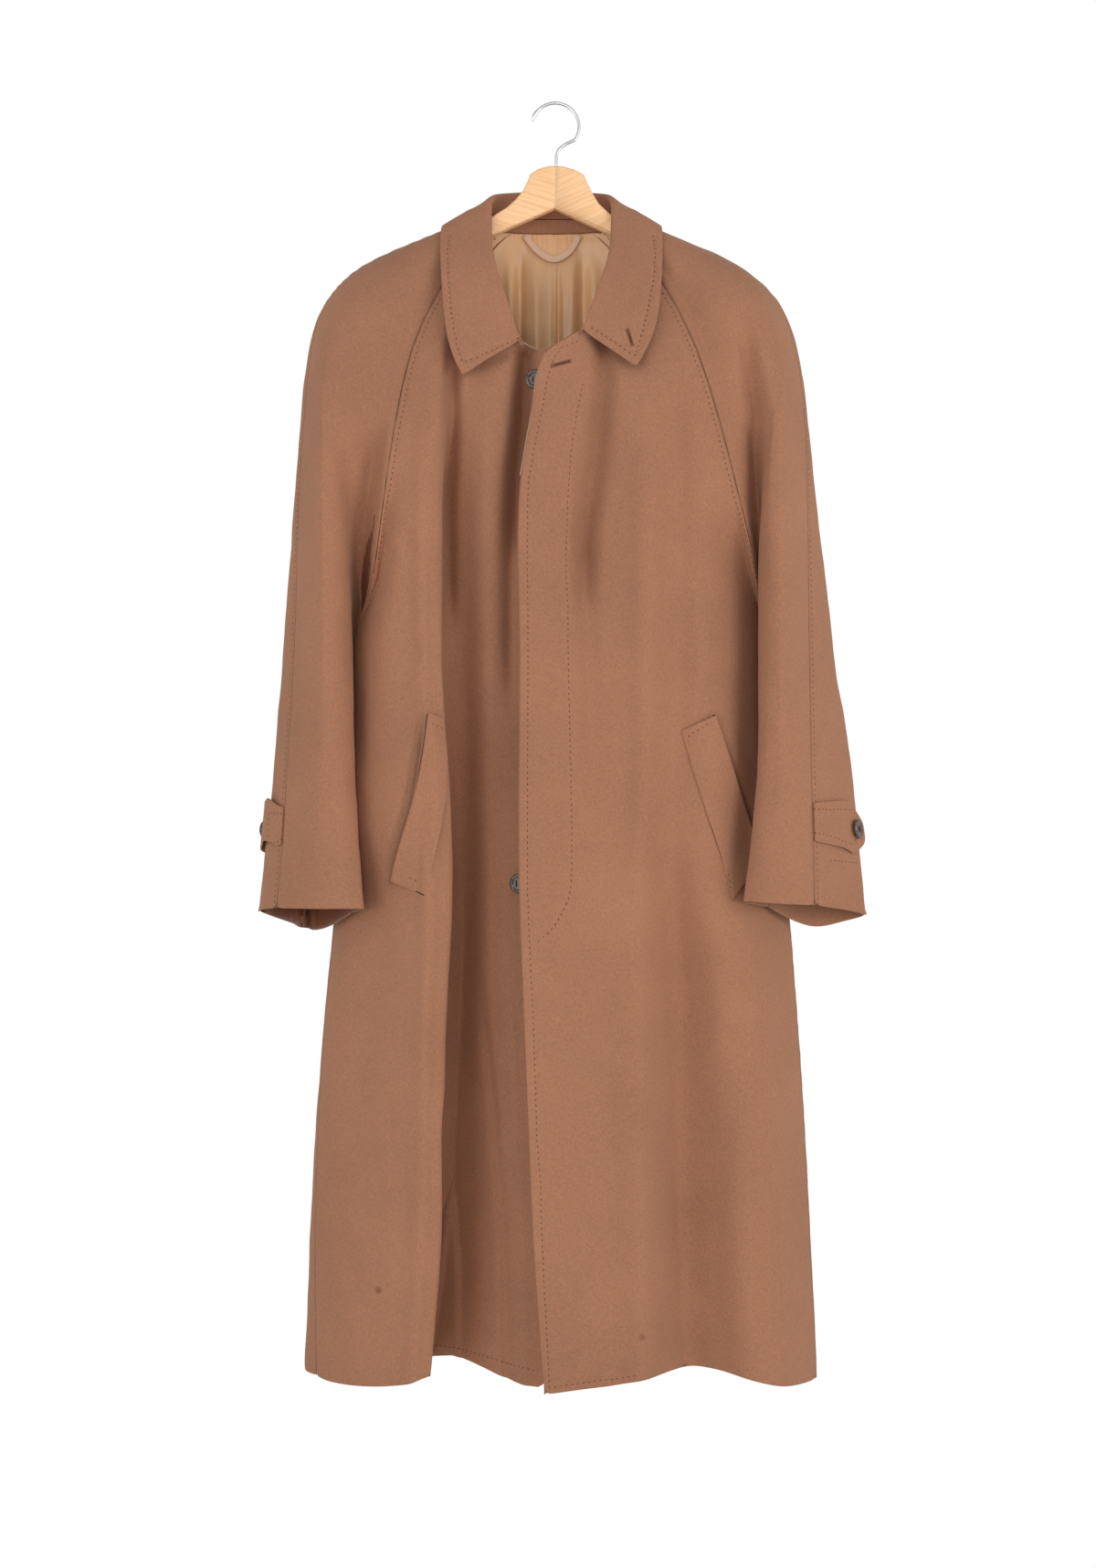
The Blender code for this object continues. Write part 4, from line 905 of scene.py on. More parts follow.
def stain_group():
    """Two small old spots near the hem and their soft edges."""
    if "Spots" in bpy.data.node_groups:
        return bpy.data.node_groups["Spots"]
    group, start, end = new_group("Spots", [("NodeSocketVector", "Place", None)], ("Spots",))
    flat = worked(group, "MULTIPLY", start.outputs["Place"], (1, 0, 1), kind="ShaderNodeVectorMath")
    marks = []
    for u, v, radius, strength in SPOTS:
        centre = (EYE.x + (u - MIDDLE[0]) * GRID * HEM_NEARER, 0, EYE.z - (v - MIDDLE[1]) * GRID * HEM_NEARER)
        apart = worked(group, "DISTANCE", flat, centre, kind="ShaderNodeVectorMath", result="Value")
        edge = (radius * 1.5 * MM, radius * 0.5 * MM)
        marks.append(ranged(group, apart, edge, (0, strength), "SMOOTHSTEP"))
    plug(group, worked(group, "ADD", *marks), end.inputs["Spots"])
    return group


def new_material(name):
    """A material with its node tree, its shader and the place of each point."""
    material = bpy.data.materials.new(name)
    material.use_nodes = True
    tree = material.node_tree
    place = tree.nodes.new("ShaderNodeTexCoord").outputs["Object"]
    return material, tree, tree.nodes["Principled BSDF"], place


def dress(tree, shader, colour, rough, **values):
    """Gives a shader its colour, its roughness and its other values."""
    plug(tree, colour, shader.inputs["Base Color"])
    plug(tree, rough, shader.inputs["Roughness"])
    for key, value in values.items():
        shader.inputs[key.replace("_", " ")].default_value = value


def shade(colour, share):
    """A colour made darker or lighter."""
    return (colour[0] * share, colour[1] * share, colour[2] * share, 1.0)


def bump(tree, shader, height, strength, distance):
    """Gives a shader fine relief."""
    node = node_of(tree, "ShaderNodeBump", Strength=strength, Distance=distance, Height=height)
    link(tree, node.outputs["Normal"], shader.inputs["Normal"])


def wool_material(settings, name="Camel wool", spots=False):
    """Brushed wool, with painted shade along its seams, partly their own darker pile, and painted shadow
    along the pockets' opening edges.
    """
    if name in bpy.data.materials:
        return bpy.data.materials[name]
    material, tree, shader, place = new_material(name)
    colour = settings.wool_colour
    nap = laid(tree, nap_group(), place)
    base = mixed(tree, nap["Tone"], shade(colour, 0.93), shade(colour, 1.07))
    base = mixed(tree, nap["Fleck"], base, (0.62, 0.55, 0.5, 1), "SOFT_LIGHT")
    dark = mixed(tree, nap["Fleck"], (0.86, 0.86, 0.86, 1), (1.1, 1.09, 1.08, 1))
    base = mixed(tree, 1.0, base, dark, "MULTIPLY")
    # Painted shade at the seams and painted shadow at the pockets' opening edges darken the wool
    seams = node_of(tree, "ShaderNodeAttribute", attribute_name="Seam").outputs["Fac"]
    base = mixed(tree, worked(tree, "MULTIPLY", seams, 0.7), base, shade(colour, 0.22))
    if spots:
        base = mixed(tree, laid(tree, stain_group(), place)["Spots"], base, (0.16, 0.062, 0.036, 1))
    dress(tree, shader, base, ranged(tree, nap["Fleck"], (0, 1), (0.86, 0.98)), Specular_IOR_Level=0.18,
          Sheen_Weight=0.22, Sheen_Roughness=0.42, Sheen_Tint=(0.95, 0.72, 0.55, 1))
    bump(tree, shader, nap["Height"], settings.nap_depth, 0.6 * MM)
    return material


def satin_material(settings, name="Tan satin", brightness=1.0, tint=(1, 1, 1)):
    """Satin whose threads run up and down."""
    if name in bpy.data.materials:
        return bpy.data.materials[name]
    material, tree, shader, place = new_material(name)
    colour = shade([a * b for a, b in zip(settings.lining_colour, tint)], brightness)
    long = stretched(tree, place, (1.0, 1.0, 0.06))
    threads = texture(tree, "Noise", long, Scale=1400.0, Detail=2.0, Roughness=0.5)
    streaks = texture(tree, "Noise", long, Scale=120.0, Detail=3.0, Roughness=0.6)
    dress(tree, shader, mixed(tree, streaks, shade(colour, 0.88), shade(colour, 1.1)),
          ranged(tree, streaks, (0, 1), (0.28, 0.4)), Specular_IOR_Level=0.55, Sheen_Weight=0.25,
          Sheen_Roughness=0.3, Sheen_Tint=(1.0, 0.86, 0.66, 1))
    bump(tree, shader, threads, 0.12, 0.3 * MM)
    return material


def tape_material(settings, name="Tan tape", brightness=1.0):
    """Smooth woven tape of the loop and the bound edges."""
    if name in bpy.data.materials:
        return bpy.data.materials[name]
    material, tree, shader, place = new_material(name)
    colour = shade(settings.tape_colour, brightness)
    weave = texture(tree, "Voronoi", place, Scale=1500.0)
    dress(tree, shader, mixed(tree, weave, shade(colour, 1.05), shade(colour, 0.8)), 0.55,
          Specular_IOR_Level=0.4, Sheen_Weight=0.2)
    bump(tree, shader, weave, 0.3, 0.3 * MM)
    return material


def thread_material(settings, name="Sewing thread", brightness=1.0):
    """Twisted sewing thread."""
    if name in bpy.data.materials:
        return bpy.data.materials[name]
    material, tree, shader, place = new_material(name)
    colour = shade(settings.thread_colour, brightness)
    ply = texture(tree, "Wave", place, wave_type="BANDS", bands_direction="DIAGONAL", Scale=600.0,
                  Distortion=0.6)
    dress(tree, shader, mixed(tree, ply, shade(colour, 0.7), shade(colour, 1.2)), 0.7, Specular_IOR_Level=0.3)
    bump(tree, shader, ply, 0.4, 0.3 * MM)
    return material


def horn_material(settings, name="Polished horn"):
    """Dark horn with paler streaks."""
    if name in bpy.data.materials:
        return bpy.data.materials[name]
    material, tree, shader, place = new_material(name)
    streaks = texture(tree, "Noise", stretched(tree, place, (0.35, 1.0, 1.4)), Scale=160.0, Detail=5.0,
                      Roughness=0.6, Distortion=1.2)
    pale = ranged(tree, streaks, (0.35, 0.7), (0, 1))
    dress(tree, shader, mixed(tree, pale, shade(settings.horn_colour, 0.45), (0.17, 0.13, 0.10, 1)), 0.24,
          Coat_Weight=0.2, Coat_Roughness=0.12)
    bump(tree, shader, streaks, 0.08, 0.4 * MM)
    return material


def pine_material(settings, side):
    """Pale pine whose grain runs down each arm and meets in a V at the mitre."""
    name = "Pine " + side
    if name in bpy.data.materials:
        return bpy.data.materials[name]
    material, tree, shader, place = new_material(name)
    colour = settings.pine_colour
    turned = stretched(tree, place, turn=(0, math.radians(GRAIN_TURN[side]), 0))
    long = stretched(tree, turned, (0.06, 0.5, 1.0))
    rings = texture(tree, "Noise", long, Scale=330.0, Detail=3.0, Roughness=0.55, Distortion=0.25)
    fibre = texture(tree, "Noise", long, Scale=900.0, Detail=3.0, Roughness=0.6)
    band = ranged(tree, rings, (0.42, 0.66), (0, 1), "SMOOTHSTEP")
    late_wood = (colour[0] * 0.96, colour[1] * 0.88, colour[2] * 0.78, 1)
    base = mixed(tree, band, shade(colour, 1.04), late_wood)
    base = mixed(tree, fibre, base, mixed(tree, 1.0, base, (0.9, 0.88, 0.84, 1), "MULTIPLY"))
    dress(tree, shader, base, ranged(tree, band, (0, 1), (0.42, 0.56)), Specular_IOR_Level=0.4,
          Coat_Weight=0.12, Coat_Roughness=0.35)
    bump(tree, shader, fibre, 0.12, 0.3 * MM)
    return material


def wire_material(settings, name="Bright wire"):
    """Zinc-bright wire with fine scuffs."""
    if name in bpy.data.materials:
        return bpy.data.materials[name]
    material, tree, shader, place = new_material(name)
    scuffs = texture(tree, "Noise", place, Scale=300.0, Detail=4.0, Roughness=0.6)
    colour = settings.wire_colour
    dress(tree, shader, mixed(tree, scuffs, shade(colour, 0.85), shade(colour, 1.08)),
          ranged(tree, scuffs, (0, 1), (0.2, 0.42)), Metallic=1.0)
    bump(tree, shader, scuffs, 0.05, 0.2 * MM)
    return material


def tube(name, line, radius, material, sides=4):
    """A thread or piping along a line of points."""
    curve = bpy.data.curves.new(name, "CURVE")
    curve.dimensions = "3D"
    curve.bevel_depth = radius
    curve.bevel_resolution = sides
    curve.resolution_u = 3
    curve.use_fill_caps = True
    spline = curve.splines.new("NURBS")
    spline.points.add(len(line) - 1)
    for spot, place in zip(spline.points, line):
        spot.co = (*place, 1.0)
    spline.use_endpoint_u = True
    spline.order_u = 3
    thing = bpy.data.objects.new(name, curve)
    bpy.context.scene.collection.objects.link(thing)
    data = bpy.data.meshes.new_from_object(thing.evaluated_get(bpy.context.evaluated_depsgraph_get()))
    bpy.data.objects.remove(thing)
    return finished(name, data, material, None)


# Settings and operators


def colour_setting(name, what, default):
    """A colour that a user may change."""
    return FloatVectorProperty(name=name, description="Colour of " + what, subtype="COLOR", size=3,
                               min=0, max=1, default=default)


def length_setting(name, what, default, low, high):
    """A length that a user may change."""
    return FloatProperty(name=name, description=what, default=default, min=low, max=high, unit="LENGTH")


class OvercoatSettings(bpy.types.PropertyGroup):
    """Colours and sizes of the coat and its hanger."""
    wool_colour: colour_setting("Wool", "the wool", (0.345, 0.168, 0.102))
    lining_colour: colour_setting("Lining", "the satin", (0.84, 0.49, 0.25))
    tape_colour: colour_setting("Tape", "the loop and the bound edges", (0.84, 0.55, 0.37))
    thread_colour: colour_setting("Thread", "the sewing thread", (0.16, 0.062, 0.036))
    horn_colour: colour_setting("Horn", "the buttons", (0.075, 0.055, 0.045))
    pine_colour: colour_setting("Pine", "the hanger's wood", (1.0, 0.63, 0.35))
    wire_colour: colour_setting("Wire", "the hook", (0.80, 0.81, 0.82))
    crease_depth: FloatProperty(name="Crease depth", description="How deep the creases are, 1 as worn",
                                default=1.0, min=0, max=3)
    nap_depth: FloatProperty(name="Nap", description="How strongly the brushed face shows", default=0.35,
                             min=0, max=1)
    stitch_pitch: length_setting("Stitch pitch", "From one stitch to the next", 0.006, 0.002, 0.02)
    stitch_length: length_setting("Stitch length", "Length of one stitch", 0.003, 0.0005, 0.01)
    stitch_width: length_setting("Stitch width", "Width of one stitch", 0.0013, 0.0002, 0.003)


def stand_back(scene):
    """Sets the camera up in front of the coat."""
    camera = bpy.data.objects.new("Camera", bpy.data.cameras.new("Camera"))
    camera.data.lens, camera.data.sensor_width = LENS, PICTURE
    camera.data.clip_start, camera.data.clip_end = 0.05, 50
    camera.location = EYE
    camera.rotation_euler = (math.radians(90), 0, 0)
    scene.collection.objects.link(camera)
    scene.camera = camera


def lay_floor(scene):
    """Lays a pale floor well under the coat."""
    floor = bmesh.new()
    bmesh.ops.create_grid(floor, x_segments=1, y_segments=1, size=0.5,
                          matrix=Matrix.Translation((0, -0.775, -1.95)) @ Matrix.Diagonal((4.0, 3.45, 1, 1)))
    data = bpy.data.meshes.new("Floor")
    floor.to_mesh(data)
    floor.free()
    material, tree, shader, place = new_material("Pale floor")
    grain = texture(tree, "Noise", place, Scale=30.0, Detail=3.0)
    dress(tree, shader, mixed(tree, grain, (0.78, 0.77, 0.75, 1), (0.84, 0.83, 0.81, 1)), 0.8)
    data.materials.append(material)
    ground = bpy.data.objects.new("Floor", data)
    scene.collection.objects.link(ground)


def set_lamps(scene):
    """Sets up the soft lamps."""
    for name, (at, aim, size, power, tone) in LAMPS.items():
        lamp = bpy.data.lights.new(name, "AREA")
        lamp.shape, lamp.size, lamp.energy, lamp.color = "SQUARE", size, power, tone
        light = bpy.data.objects.new(name, lamp)
        light.location = at
        light.rotation_euler = (Vector(aim) - Vector(at)).to_track_quat("-Z", "Y").to_euler()
        scene.collection.objects.link(light)


def brighten_room(scene):
    """Makes the room white to the eye, and its light stronger from the front and from both sides."""
    world = bpy.data.worlds.new("Pale room")
    world.use_nodes = True
    tree = world.node_tree
    tree.nodes.clear()
    way = tree.nodes.new("ShaderNodeTexCoord").outputs["Generated"]
    front = worked(tree, "DOT_PRODUCT", way, BRIGHT_WAY, kind="ShaderNodeVectorMath", result="Value")
    across = node_of(tree, "ShaderNodeSeparateXYZ", Vector=way).outputs["X"]
    glow = worked(tree, "MULTIPLY_ADD", worked(tree, "MULTIPLY", across, across), 0.5,
                  ranged(tree, front, (-1.0, 1.0), (0.17, 0.64)))
    soft = node_of(tree, "ShaderNodeBackground", Color=(1.0, 0.995, 0.985, 1), Strength=glow)
    white = node_of(tree, "ShaderNodeBackground", Color=(1, 1, 1, 1))
    both = tree.nodes.new("ShaderNodeMixShader")
    seen_straight = tree.nodes.new("ShaderNodeLightPath").outputs["Is Camera Ray"]
    for socket, value in zip(both.inputs, (seen_straight, soft.outputs[0], white.outputs[0])):
        link(tree, value, socket)
    link(tree, both.outputs[0], tree.nodes.new("ShaderNodeOutputWorld").inputs["Surface"])
    scene.world = world


class OVERCOAT_OT_stage(bpy.types.Operator):
    """Lay a pale floor, light the coat softly and stand in front of it"""
    bl_idname = "overcoat.stage"
    bl_label = "Floor, light and camera"

    def execute(self, context):
        scene = context.scene
        for prepare in (stand_back, lay_floor, set_lamps, brighten_room):
            prepare(scene)
        scene.view_settings.view_transform = "Standard"
        scene.view_settings.look = "None"
        return {"FINISHED"}


class OVERCOAT_OT_hanger(bpy.types.Operator):
    """Make the two pine arms with rounded edges and the wire hook"""
    bl_idname = "overcoat.hanger"
    bl_label = "Hanger"

    def execute(self, context):
        settings = context.scene.overcoat
        for side, apart in (("left", -MITRE_GAP), ("right", MITRE_GAP)):
            mesh = merged("hanger_arm_" + side)
            edges = [e for e in mesh.edges if e.is_manifold and e.calc_face_angle() > math.radians(40)
                     and max(abs(v.co.x - MITRE[0]) for v in e.verts) > 1.5 * MM]
            bmesh.ops.bevel(mesh, geom=edges, offset=1.4 * MM, segments=3, profile=0.5, affect="EDGES",
                            offset_type="OFFSET", clamp_overlap=True, material=-1)
            for vert in mesh.verts:
                if abs(vert.co.x - MITRE[0] - MITRE[1] * vert.co.z) < 0.5 * MM:
                    vert.co.x += apart
            pine = pine_material(settings, side)
            piece = finished("pine_arm_" + side, mesh, pine, "hanger_arm_" + side)
            piece.data.set_sharp_from_angle(angle=math.radians(30))
        fine = refined("hanger_hook", levels=2, rim=0.5, sharp=60)
        finished("wire_hook", fine, wire_material(settings), "hanger_hook")
        return {"FINISHED"}


# The seams, each by the two pieces it joins; a sleeve's own halves also by the part, outer or under
SEAMS = [("sleeve_left_front", "front_left"), ("sleeve_right_front", "front_right"),
         ("sleeve_left_back", "back"), ("sleeve_right_back", "back"),
         ("sleeve_left_front", "sleeve_left_back", "outer"),
         ("sleeve_right_front", "sleeve_right_back", "outer"),
         ("sleeve_left_front", "sleeve_left_back", "under"),
         ("sleeve_right_front", "sleeve_right_back", "under"),
         ("front_left", "back"), ("front_right", "back"),
         ("collar_stand", "front_left"), ("collar_stand", "front_right"), ("collar_stand", "back"),
         ("collar_stand", "sleeve_left_front"), ("collar_stand", "sleeve_right_front"),
         ("collar_stand", "sleeve_left_back"), ("collar_stand", "sleeve_right_back")]


def cloth(node, settings, material=None, rim=0.4, corners=1.0):
    """One piece of cloth, refined and pressed."""
    fine = refined(node, rim=rim, corners=corners)
    press(node, fine, settings)
    piece = finished(node + "_cloth", fine, material or wool_material(settings), node)
    Cloth.made[node] = piece
    return piece


def line_inside(node, material, where):
    """Gives the inner face of a piece its lining, where `where` says so of the faces' middles."""
    data = Cloth.made[node].data
    data.materials.append(material)
    middle = np.empty((len(data.polygons), 3), np.float32)
    normal = np.empty_like(middle)
    data.polygons.foreach_get("center", middle.ravel())
    data.polygons.foreach_get("normal", normal.ravel())
    middle = middle.astype(float)
    inner = (np.sum(outward(middle, node) * normal, axis=1) < -0.25) & where(middle)
    if node != "back":
        inner &= seam_near(middle, group_of(node))[0] > SATIN_MARGIN
    data.polygons.foreach_set("material_index", inner.astype(np.int32))


class OVERCOAT_OT_body(bpy.types.Operator):
    """Cut the two fronts, the fly facing and the back"""
    bl_idname = "overcoat.body"
    bl_label = "Fronts and back"

    def execute(self, context):
        settings = context.scene.overcoat
        Cloth.lines = {pair: seam_line(*pair) for pair in SEAMS}
        Cloth.seams = {}
        for pair, line in Cloth.lines.items():
            for group in {group_of(node) for node in pair[:2]}:
                Cloth.seams.setdefault(group, []).append(np.array(line))
        for node in ("front_left", "front_right"):
            cloth(node, settings, material=wool_material(settings, "Camel wool front", spots=True))
        cloth("back", settings)
        cloth("fly_facing", settings)
        satin = satin_material(settings)
        line_inside("back", satin, lambda at: at[:, 2] > SATIN_HEM)
        line_inside("front_left", satin, lambda at: (at[:, 0] > 0.065) & (at[:, 2] > SATIN_HEM))
        line_inside("front_right", satin, lambda at: (at[:, 0] < -0.155) & (at[:, 2] > SATIN_HEM))
        return {"FINISHED"}


class OVERCOAT_OT_sleeves(bpy.types.Operator):
    """Cut the raglan sleeves, each of a front and a back half"""
    bl_idname = "overcoat.sleeves"
    bl_label = "Sleeves"

    def execute(self, context):
        settings = context.scene.overcoat
        # A darker, redder copy of the lining satin, as painted shade on the sleeves' inner faces above these
        # heights
        satin = satin_material(settings, "Sleeve satin", 0.22, (1.0, 0.62, 0.62))
        for node in SLEEVES:
            cloth(node, settings)
            low = -0.9 if "right" in node else -0.852
            line_inside(node, satin, lambda at: at[:, 2] > low)
        return {"FINISHED"}


class OVERCOAT_OT_collar(bpy.types.Operator):
    """Turn the collar over its stand"""
    bl_idname = "overcoat.collar"
    bl_label = "Collar"

    def execute(self, context):
        cloth("collar", context.scene.overcoat, rim=0.3, corners=0.72)
        cloth("collar_stand", context.scene.overcoat)
        return {"FINISHED"}


def pleated(u, v):
    """How far the lining stands out in mm: its pleat, its soft folds and the gathers at the neck seam."""
    opened = smooth(v, 284, 372)
    out = 5.0 * smooth(u, 604, 607.5) * smooth(-u, -636, -611) * (0.2 + opened)
    out -= 12.0 * (0.12 + opened) * bell(u - PLEAT, 2.6)
    out -= 0.8 * bell(u - PLEAT_EDGE, 1.2)
    for column, lean, wide, deep in LINING_FOLDS:
        out += deep * smooth(v, NECK_ROW, 330) * bell(u - column - lean * (v - NECK_ROW), wide)
    out += 0.55 * np.sin(1.25 * u + 0.6 * np.sin(0.4 * u)) * bell(v - NECK_ROW, 9)
    return out + 2.4 * smooth(v, 254, 270) + 3.4 * smooth(v, 270, 330)


class OVERCOAT_OT_lining(bpy.types.Operator):
    """Hang the satin lining with its pleat, and sew the loop over it"""
    bl_idname = "overcoat.lining"
    bl_label = "Lining and loop"

    def execute(self, context):
        settings = context.scene.overcoat
        lining = cloth("lining_back", settings, material=satin_material(settings)).data
        co = points(lining)
        co[:, 1] -= pleated(*front_grid(co).T) * MM
        put_points(lining, co)
        loop = cloth("hanging_loop", settings, material=tape_material(settings)).data
        co = points(loop)
        co[:, 1] -= (3.6 + 4.0 * smooth(front_grid(co)[:, 1], 260, 280)) * MM
        put_points(loop, co)
        return {"FINISHED"}


class OVERCOAT_OT_pockets(bpy.types.Operator):
    """Lay the slanted pocket welts on the fronts and the pointed tabs on the cuffs"""
    bl_idname = "overcoat.pockets"
    bl_label = "Pocket welts and cuff tabs"

    def execute(self, context):
        for node in ("pocket_welt_left", "pocket_welt_right", "cuff_tab_left", "cuff_tab_right"):
            cloth(node, context.scene.overcoat)
        return {"FINISHED"}


def button_place(node, settings):
    """Where a button's face comes, the way it faces, and its radius and thickness."""
    co = points(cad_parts[node].data)
    centre = co.mean(axis=0)
    axis = Vector(np.linalg.eigh(np.cov((co - centre).T))[1][:, 0])
    side = 0 if node.startswith("front") else 1 if "left" in node else -1
    if axis.x * side - axis.y * (0.5 if side else 1) < 0:
        axis = -axis
    along = (co - centre) @ np.array(axis)
    across = np.linalg.norm((co - centre) - along[:, None] * np.array(axis), axis=1)
    radius, top = across.max(), along.max()
    base = along[across > radius * 0.8].min()
    seat = np.array([centre])
    face = Vector(centre) + axis * top + Vector((moved(seat, node, settings) - seat)[0])
    if node == "cuff_button_right":
        face += CUFF_BUTTON_SHIFT
    return face, axis, radius, top - base


def drilled_plate(mesh, radius, thick, holes, hole):
    """The button's thin middle with its four holes."""
    loops = []
    for x, y in holes:
        place = Matrix.Translation((x, y, 0))
        ring = bmesh.ops.create_circle(mesh, segments=12, radius=hole, matrix=place)["verts"]
        loops += {e for v in ring for e in v.link_edges}
    outer = bmesh.ops.create_circle(mesh, segments=48, radius=BUTTON_SECTION[0][0] * radius)["verts"]
    rim = list({e for v in outer for e in v.link_edges})
    filled = bmesh.ops.triangle_fill(mesh, use_beauty=True, edges=loops + rim, normal=(0, 0, 1))
    plate = [g for g in filled["geom"] if isinstance(g, bmesh.types.BMFace)]
    for face in list(plate):
        middle = face.calc_center_median().xy
        if any((middle - Vector(centre)).length < hole * 0.9 for centre in holes):
            mesh.faces.remove(face)
            plate.remove(face)
    top, bottom = BUTTON_SECTION[0][1], BUTTON_SECTION[-1][1]
    bmesh.ops.translate(mesh, verts=mesh.verts, vec=(0, 0, top * thick))
    wall = bmesh.ops.extrude_face_region(mesh, geom=plate)
    low = [g for g in wall["geom"] if isinstance(g, bmesh.types.BMVert)]
    bmesh.ops.translate(mesh, verts=low, vec=(0, 0, (bottom - top) * thick))


def turned_rim(mesh, radius, thick):
    """The button's raised and rounded rim, and its back."""
    spots = [mesh.verts.new((r * radius, 0, z * thick)) for r, z in BUTTON_SECTION]
    lines = [mesh.edges.new(pair) for pair in zip(spots[:-1], spots[1:])]
    bmesh.ops.spin(mesh, geom=spots + lines, cent=(0, 0, 0), axis=(0, 0, 1), angle=2 * math.pi, steps=48,
                   use_merge=True)


def tied_thread(threads, radius, thick, reach, hole):
    """The thread through the four holes and the shank under the button."""
    size = Matrix.Diagonal((hole * 0.85, 2 * reach + hole, hole * 1.1, 1))
    for x in (-1, 1):
        for strand in (-0.5, 0.5):
            place = Matrix.Translation((x * reach + strand * hole * 0.8, 0, -0.2 * thick))
            bmesh.ops.create_uvsphere(threads, u_segments=8, v_segments=8, radius=0.5,
                                      matrix=place @ size @ Matrix.Rotation(math.pi / 2, 4, "X"))
    bmesh.ops.create_cone(threads, cap_ends=True, segments=12, radius1=0.24 * radius, radius2=0.2 * radius,
                          depth=SHANK, matrix=Matrix.Translation((0, 0, -thick * 0.7 - SHANK / 2)))


class OVERCOAT_OT_buttons(bpy.types.Operator):
    """Turn the horn buttons, drill their four holes and tie them on"""
    bl_idname = "overcoat.buttons"
    bl_label = "Buttons"

    def execute(self, context):
        settings = context.scene.overcoat
        for node in BUTTONS:
            face, axis, radius, thick = button_place(node, settings)
            hole, reach = 0.085 * radius + 0.25 * MM, 0.24 * radius
            holes = [(x * reach, y * reach) for x, y in ((1, 1), (1, -1), (-1, -1), (-1, 1))]
            placed = Matrix.Translation(face) @ axis.to_track_quat("Z", "Y").to_matrix().to_4x4()
            mesh = bmesh.new()
            drilled_plate(mesh, radius, thick, holes, hole)
            turned_rim(mesh, radius, thick)
            bmesh.ops.remove_doubles(mesh, verts=mesh.verts, dist=1e-5)
            bmesh.ops.recalc_face_normals(mesh, faces=mesh.faces)
            bmesh.ops.transform(mesh, matrix=placed, verts=mesh.verts)
            piece = finished(node + "_horn", mesh, horn_material(settings), node)
            piece.data.set_sharp_from_angle(angle=math.radians(40))
            threads = bmesh.new()
            tied_thread(threads, radius, thick, reach, hole)
            bmesh.ops.transform(threads, matrix=placed, verts=threads.verts)
            finished(node + "_thread", threads, thread_material(settings, "Button thread", 0.8), None)
        return {"FINISHED"}


def buttonhole(node, start, end, settings):
    """Works a buttonhole: a dark slit with close stitches along both lips and a bar at its end."""
    tree = Cloth.tree(node)
    a, normal = tree.ray_cast(EYE, front_ray(*start))[:2]
    b = tree.ray_cast(EYE, front_ray(*end))[0]
    ahead, length = (b - a).normalized(), (b - a).length
    normal = normal if normal.y < 0 else -normal
    side = normal.cross(ahead).normalized()
    threads, slit = bmesh.new(), bmesh.new()

    def knot(mesh, place, along, long, wide, high):
        spot, facing = tree.find_nearest(place)[:2]
        facing = facing if facing.y < 0 else -facing
        turn = Matrix((along, facing.cross(along).normalized(), facing)).transposed().to_4x4()
        size = Matrix.Diagonal((long * MM, wide * MM, high * MM, 1))
        bmesh.ops.create_uvsphere(mesh, u_segments=8, v_segments=6, radius=0.5,
                                  matrix=Matrix.Translation(spot + facing * high * 0.1 * MM) @ turn @ size)

    knot(slit, (a + b) / 2, ahead, length / MM, 0.8, 0.9)
    count = round(length / (1.1 * MM))
    for number in range(count + 1):
        for way in (-1, 1):
            knot(threads, a + ahead * length * number / count + side * way * 1.2 * MM, side, 1.9, 0.95, 1.0)
    knot(threads, b + ahead * 0.4 * MM, side, 5.0, 1.4, 1.3)
    finished(node + "_buttonhole", threads, thread_material(settings, "Buttonhole twist", 1.6))
    finished(node + "_slit", slit, thread_material(settings, "Slit shadow", 0.12))


def sew(node, lines, settings):
    """Sews a piece's rows: draws the cloth in along them and lays the threads."""
    data = Cloth.made[node].data
    Cloth.co[node], Cloth.normals[node] = points(data), points(data, "normal")
    Cloth.near[node] = tree_of(Cloth.co[node])
    rows = [beside(line[0], node, line[1]) if isinstance(line, tuple) else line for line in lines]
    sewn = [stitch_places(row, node, settings) for row in rows if len(row) > 1]
    for places in sewn:
        draw_in(places, node, DIMPLE["collar" if node == "collar" else "other"])
    put_points(data, Cloth.co[node])
    del Cloth.trees[node]
    threads = bmesh.new()
    for places in sewn:
        lay_thread(threads, places, node, settings)
    finished(node + "_stitches", threads, thread_material(settings), None)


def close_seams(settings):
    """Lays a narrow strip inside the raglan seams, as an allowance lies, so that no light comes through."""
    wool = wool_material(settings)
    for pair in SEAMS[:4]:
        line = np.array(Cloth.lines[pair])
        if len(line) > 5:
            inside = moved(line, pair[1], settings) - outward(line, pair[1]) * ALLOWANCE[0]
            tube("seam_" + pair[0], [Vector(spot) for spot in inside[::2]], ALLOWANCE[1], wool, sides=1)
    for sleeve, body in SEAMS[2:4]:
        top = seam_top(sleeve, body)
        if len(top) > 2:
            tube("seam_top_" + sleeve, top, ALLOWANCE[1], wool)


def shade_pockets(settings):
    """Lays a dark tube as painted shadow along each pocket's open edge and at the right one's foot."""
    shadow = thread_material(settings, "Pocket mouth", 0.3)
    for side, shift in (("right", -2.2), ("left", 2.2)):
        mouth = on_front("front_" + side, [(u + shift, v) for u, v in WELTS["pocket_welt_" + side][0]])
        tube("pocket_welt_" + side + "_mouth", mouth[::3], 1.5 * MM, shadow)
    tube("pocket_welt_right_foot", on_front("front_right", POCKET_FOOT_SHADOW)[::3], 0.6 * MM, shadow)


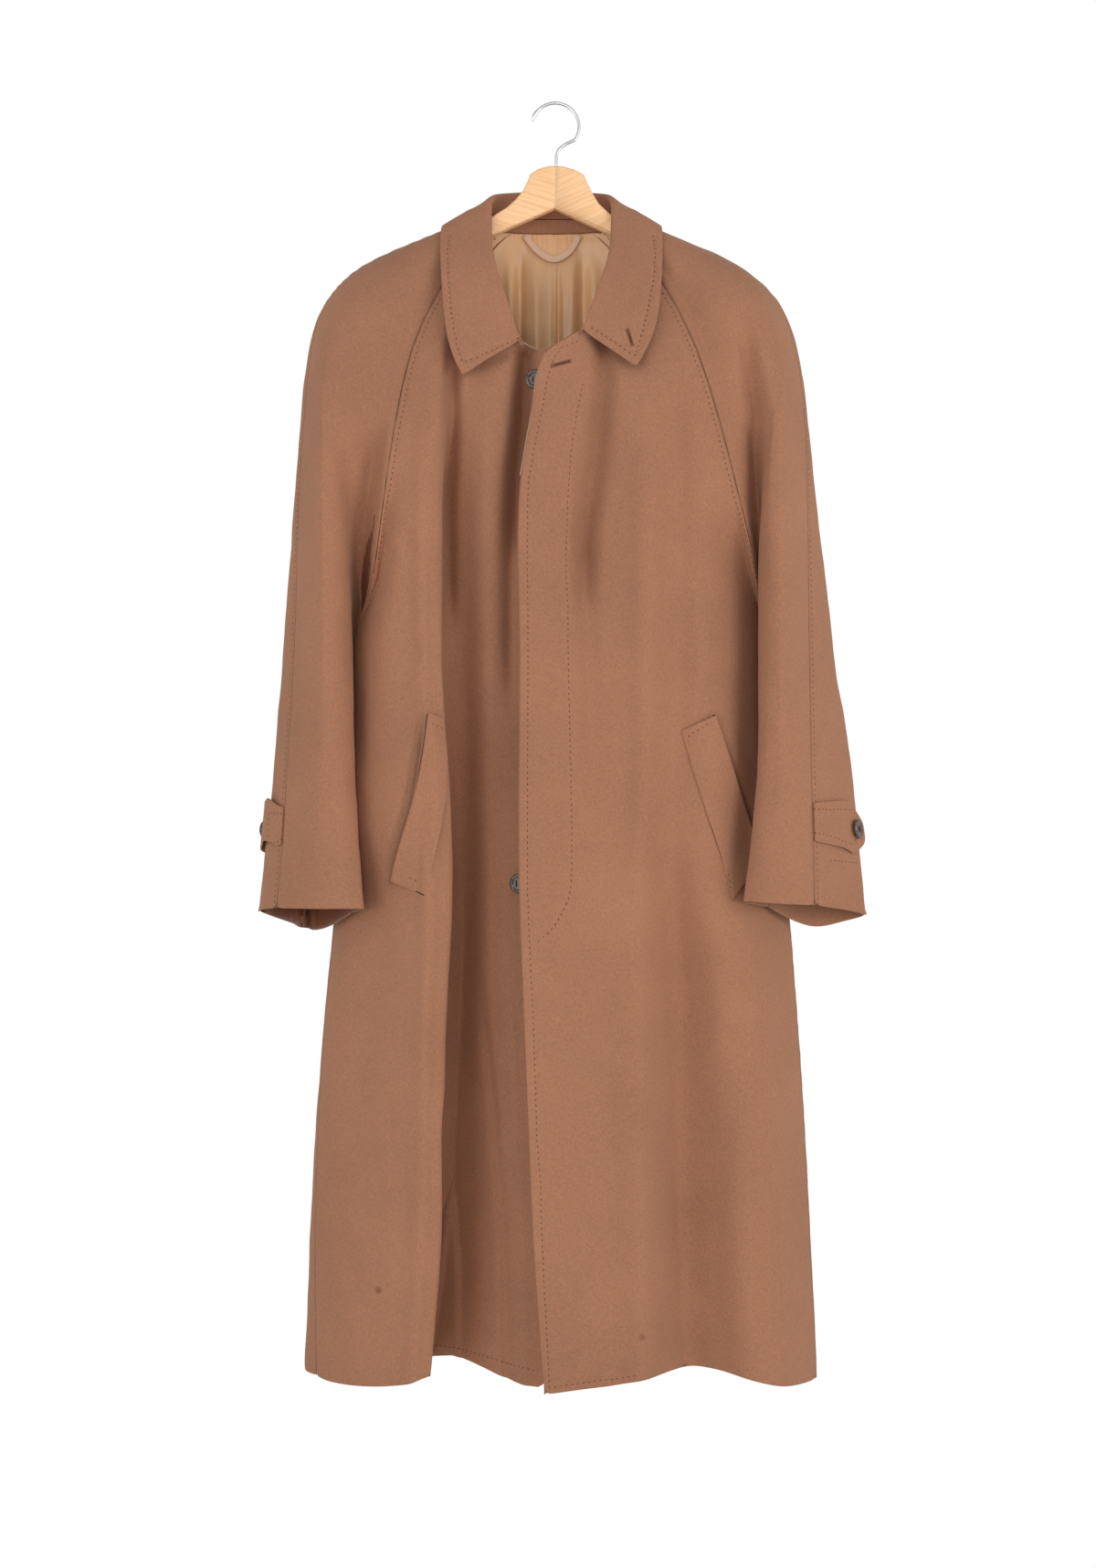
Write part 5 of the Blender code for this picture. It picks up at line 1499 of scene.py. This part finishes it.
def bind_edges(settings):
    """Binds the front edge and the neck edge with tape."""
    tape = tape_material(settings, "Edge tape", 0.6)
    edge = [spot + Vector((-2.6, 2.4, 0)) * MM for spot in on_front("front_left", FRONT_TAPE)[::2]]
    tube("edge_tape", edge, 0.8 * MM, tape)
    neck = [spot + Vector((0, -0.6, 0.8)) * MM for spot in on_front("front_right", NECK_TAPE)]
    if len(neck) > 3:
        tube("neck_tape", neck, 0.6 * MM, tape)


class OVERCOAT_OT_sewing(bpy.types.Operator):
    """Sew the rows beside the edges and seams"""
    bl_idname = "overcoat.sewing"
    bl_label = "Rows of stitches"

    def execute(self, context):
        settings = context.scene.overcoat
        rows = [(node, on_front(node, path)) for node, path in ROWS_FRONT]
        for pair in SEAMS[:6]:
            line = [Vector(spot) for spot in moved(np.array(Cloth.lines[pair]), pair[1], settings)]
            rows.append((pair[1], (line, BESIDE_SEAM)))
        groups = {}
        for node, row in rows:
            groups.setdefault(node, []).append(row)
        for node, lines in groups.items():
            sew(node, lines, settings)
        close_seams(settings)
        for node, start, end in BUTTONHOLES:
            buttonhole(node, start, end, settings)
        shade_pockets(settings)
        bind_edges(settings)
        return {"FINISHED"}


class OVERCOAT_PT_panel(bpy.types.Panel):
    """The coat's settings and steps"""
    bl_label = "Overcoat"
    bl_idname = "OVERCOAT_PT_panel"
    bl_space_type = "VIEW_3D"
    bl_region_type = "UI"
    bl_category = "Overcoat"

    def draw(self, context):
        settings = context.scene.overcoat
        for name in OvercoatSettings.__annotations__:
            self.layout.prop(settings, name)
        for step in STEPS:
            self.layout.operator(step.bl_idname)


STEPS = (OVERCOAT_OT_stage, OVERCOAT_OT_hanger, OVERCOAT_OT_body, OVERCOAT_OT_sleeves, OVERCOAT_OT_collar,
         OVERCOAT_OT_lining, OVERCOAT_OT_pockets, OVERCOAT_OT_buttons, OVERCOAT_OT_sewing)


def register():
    for kind in (OvercoatSettings, *STEPS, OVERCOAT_PT_panel):
        bpy.utils.register_class(kind)
    bpy.types.Scene.overcoat = PointerProperty(type=OvercoatSettings)


def unregister():
    del bpy.types.Scene.overcoat
    for kind in (OVERCOAT_PT_panel, *reversed(STEPS), OvercoatSettings):
        bpy.utils.unregister_class(kind)


def main():
    register()
    for step in STEPS:
        group, name = step.bl_idname.split(".")
        getattr(getattr(bpy.ops, group), name)()


if __name__ == "__main__":
    main()
